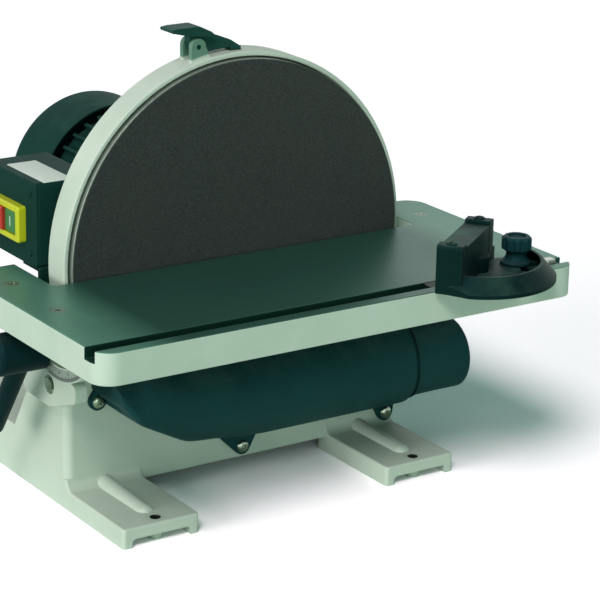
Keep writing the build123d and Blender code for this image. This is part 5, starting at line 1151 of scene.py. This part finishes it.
def dust_shroud():
    """The moulded shroud with its left end drawn in to a boat shape along the disc's curve."""
    shape = bmesh.new()
    shape.from_mesh(NODES["dust_cover"].data)
    bmesh.ops.remove_doubles(shape, verts=shape.verts, dist=1e-6)
    for way, places in SHROUD_CUTS:
        for place in places:
            limit = SHROUD_CUT_END * MM
            faces = [face for face in shape.faces if min(vert.co.x for vert in face.verts) < limit]
            edges = {edge for face in faces for edge in face.edges}
            verts = {vert for face in faces for vert in face.verts}
            bmesh.ops.bisect_plane(
                shape, geom=list(verts) + list(edges) + faces, dist=1e-7,
                plane_co=Vector(way) * place * MM, plane_no=way,
            )
    for vert in shape.verts:
        x, y, z = [c / MM for c in vert.co]
        out = Vector((x, z - SHROUD_AXIS_Z))
        share = eased(x, *SHROUD_START_FADE) * (1.0 - eased(x, *SHROUD_END_FADE))
        share *= eased(out.length, *SHROUD_REACH_FADE)
        draw = share * (SHROUD_DRAW_WALL + SHROUD_DRAW_FRONT * max(0.0, SHROUD_WALL_Y - y) / SHROUD_DEPTH)
        out -= draw * out.normalized()
        vert.co = Vector((out.x, y, out.y + SHROUD_AXIS_Z)) * MM
    shroud_bow(shape)
    mesh = to_mesh(shape, "dust_shroud", SHROUD_SHARP)
    place_piece("dust_shroud", mesh, "base", "black_plastic", "dust_cover")


def brake_web():
    """Deep web under the arm of the brake lever, close over the guard rim."""
    plan = [(x, GUARD_TOP + up) for x, up in BRAKE_WEB]
    shape = slab(plan, -BRAKE_WEB_HALF, BRAKE_WEB_HALF, BRAKE_WEB_RIM)
    mesh = to_mesh(shape, "brake_web")
    mesh.transform(Matrix(((1, 0, 0, 0), (0, 0, -1, BRAKE_Y * MM), (0, 1, 0, 0), (0, 0, 0, 1))))
    place_piece("brake_web", mesh, "brake_lever", "brake_paint")


# Floor, light and camera

def seen_ray(tree):
    """One where the camera sees a surface itself, or in a reflection or through glass."""
    path = put(tree, "ShaderNodeLightPath").outputs
    mirrored = sums(tree, "MAXIMUM", path["Is Glossy Ray"], path["Is Transmission Ray"])
    return sums(tree, "MAXIMUM", path["Is Camera Ray"], mirrored)


def floor():
    """Plain floor that looks white and keeps the shadow."""
    shape = bmesh.new()
    bmesh.ops.create_grid(shape, x_segments=4, y_segments=4, size=FLOOR_HALF)
    mesh = plain_mesh(shape, "floor")
    sheet = add_object("floor", mesh)
    material = bpy.data.materials.new("floor")
    material.use_nodes = True
    tree = material.node_tree
    tree.nodes.clear()
    bounce = put(tree, "ShaderNodeBsdfDiffuse", {"Color": FLOOR_BOUNCE})
    white = put(tree, "ShaderNodeBsdfDiffuse", {"Color": WHITE})
    extra = put(tree, "ShaderNodeBsdfDiffuse", {"Color": FLOOR_EXTRA})
    lit = put(tree, "ShaderNodeAddShader", {0: white.outputs[0], 1: extra.outputs[0]})
    straight = put(tree, "ShaderNodeLightPath").outputs["Is Camera Ray"]
    shown = put(tree, "ShaderNodeMixShader", {0: straight, 1: bounce.outputs[0], 2: lit.outputs[0]})
    put(tree, "ShaderNodeOutputMaterial", {"Surface": shown.outputs[0]})
    mesh.materials.append(material)


def surroundings():
    """Pale room: a soft light from all round, white where it is seen."""
    world = bpy.data.worlds.new("studio")
    bpy.context.scene.world = world
    world.use_nodes = True
    tree = world.node_tree
    tree.nodes.clear()
    soft = put(tree, "ShaderNodeBackground", {"Color": ROOM_LIGHT, "Strength": ROOM_STRENGTH})
    white = put(tree, "ShaderNodeBackground", {"Color": WHITE, "Strength": 1.0})
    mixed = put(tree, "ShaderNodeMixShader", {0: seen_ray(tree), 1: soft.outputs[0], 2: white.outputs[0]})
    put(tree, "ShaderNodeOutputWorld", {"Surface": mixed.outputs[0]})


def broad_light(name, way, strength, colour, spread):
    """Far light from one side, with shadows as soft as its spread in degrees."""
    lamp = bpy.data.lights.new(name, "SUN")
    lamp.energy = strength
    lamp.color = colour
    lamp.angle = radians(spread)
    light = add_object(name, lamp)
    light.rotation_euler = (-Vector(way)).to_track_quat("-Z", "Y").to_euler()


def camera():
    """Camera at the photograph's place and lens."""
    view = bpy.data.cameras.new("camera")
    view.lens = CAMERA_LENS
    view.sensor_width = SENSOR_WIDTH
    view.clip_end = CAMERA_FAR
    turn, rise, roll = [radians(a) for a in CAMERA_TURN]
    stand = add_object("camera", view)
    stand.matrix_world = (
        Matrix.Translation([MM * c for c in CAMERA_EYE]) @ Matrix.Rotation(turn, 4, "Z")
        @ Matrix.Rotation(pi / 2 - rise, 4, "X") @ Matrix.Rotation(roll, 4, "Z")
    )
    bpy.context.scene.camera = stand


camera()
floor()
surroundings()
for lamp_name, lamp_values in LIGHTS.items():
    broad_light(lamp_name, **lamp_values)
dress_nodes()
all_screws()
tilt_marks()
gauge_marks()
switch_label()
button_marks()
lever_caps()
dust_shroud()
port_seam()
brake_web()
bpy.context.scene.view_settings.view_transform = "Standard"
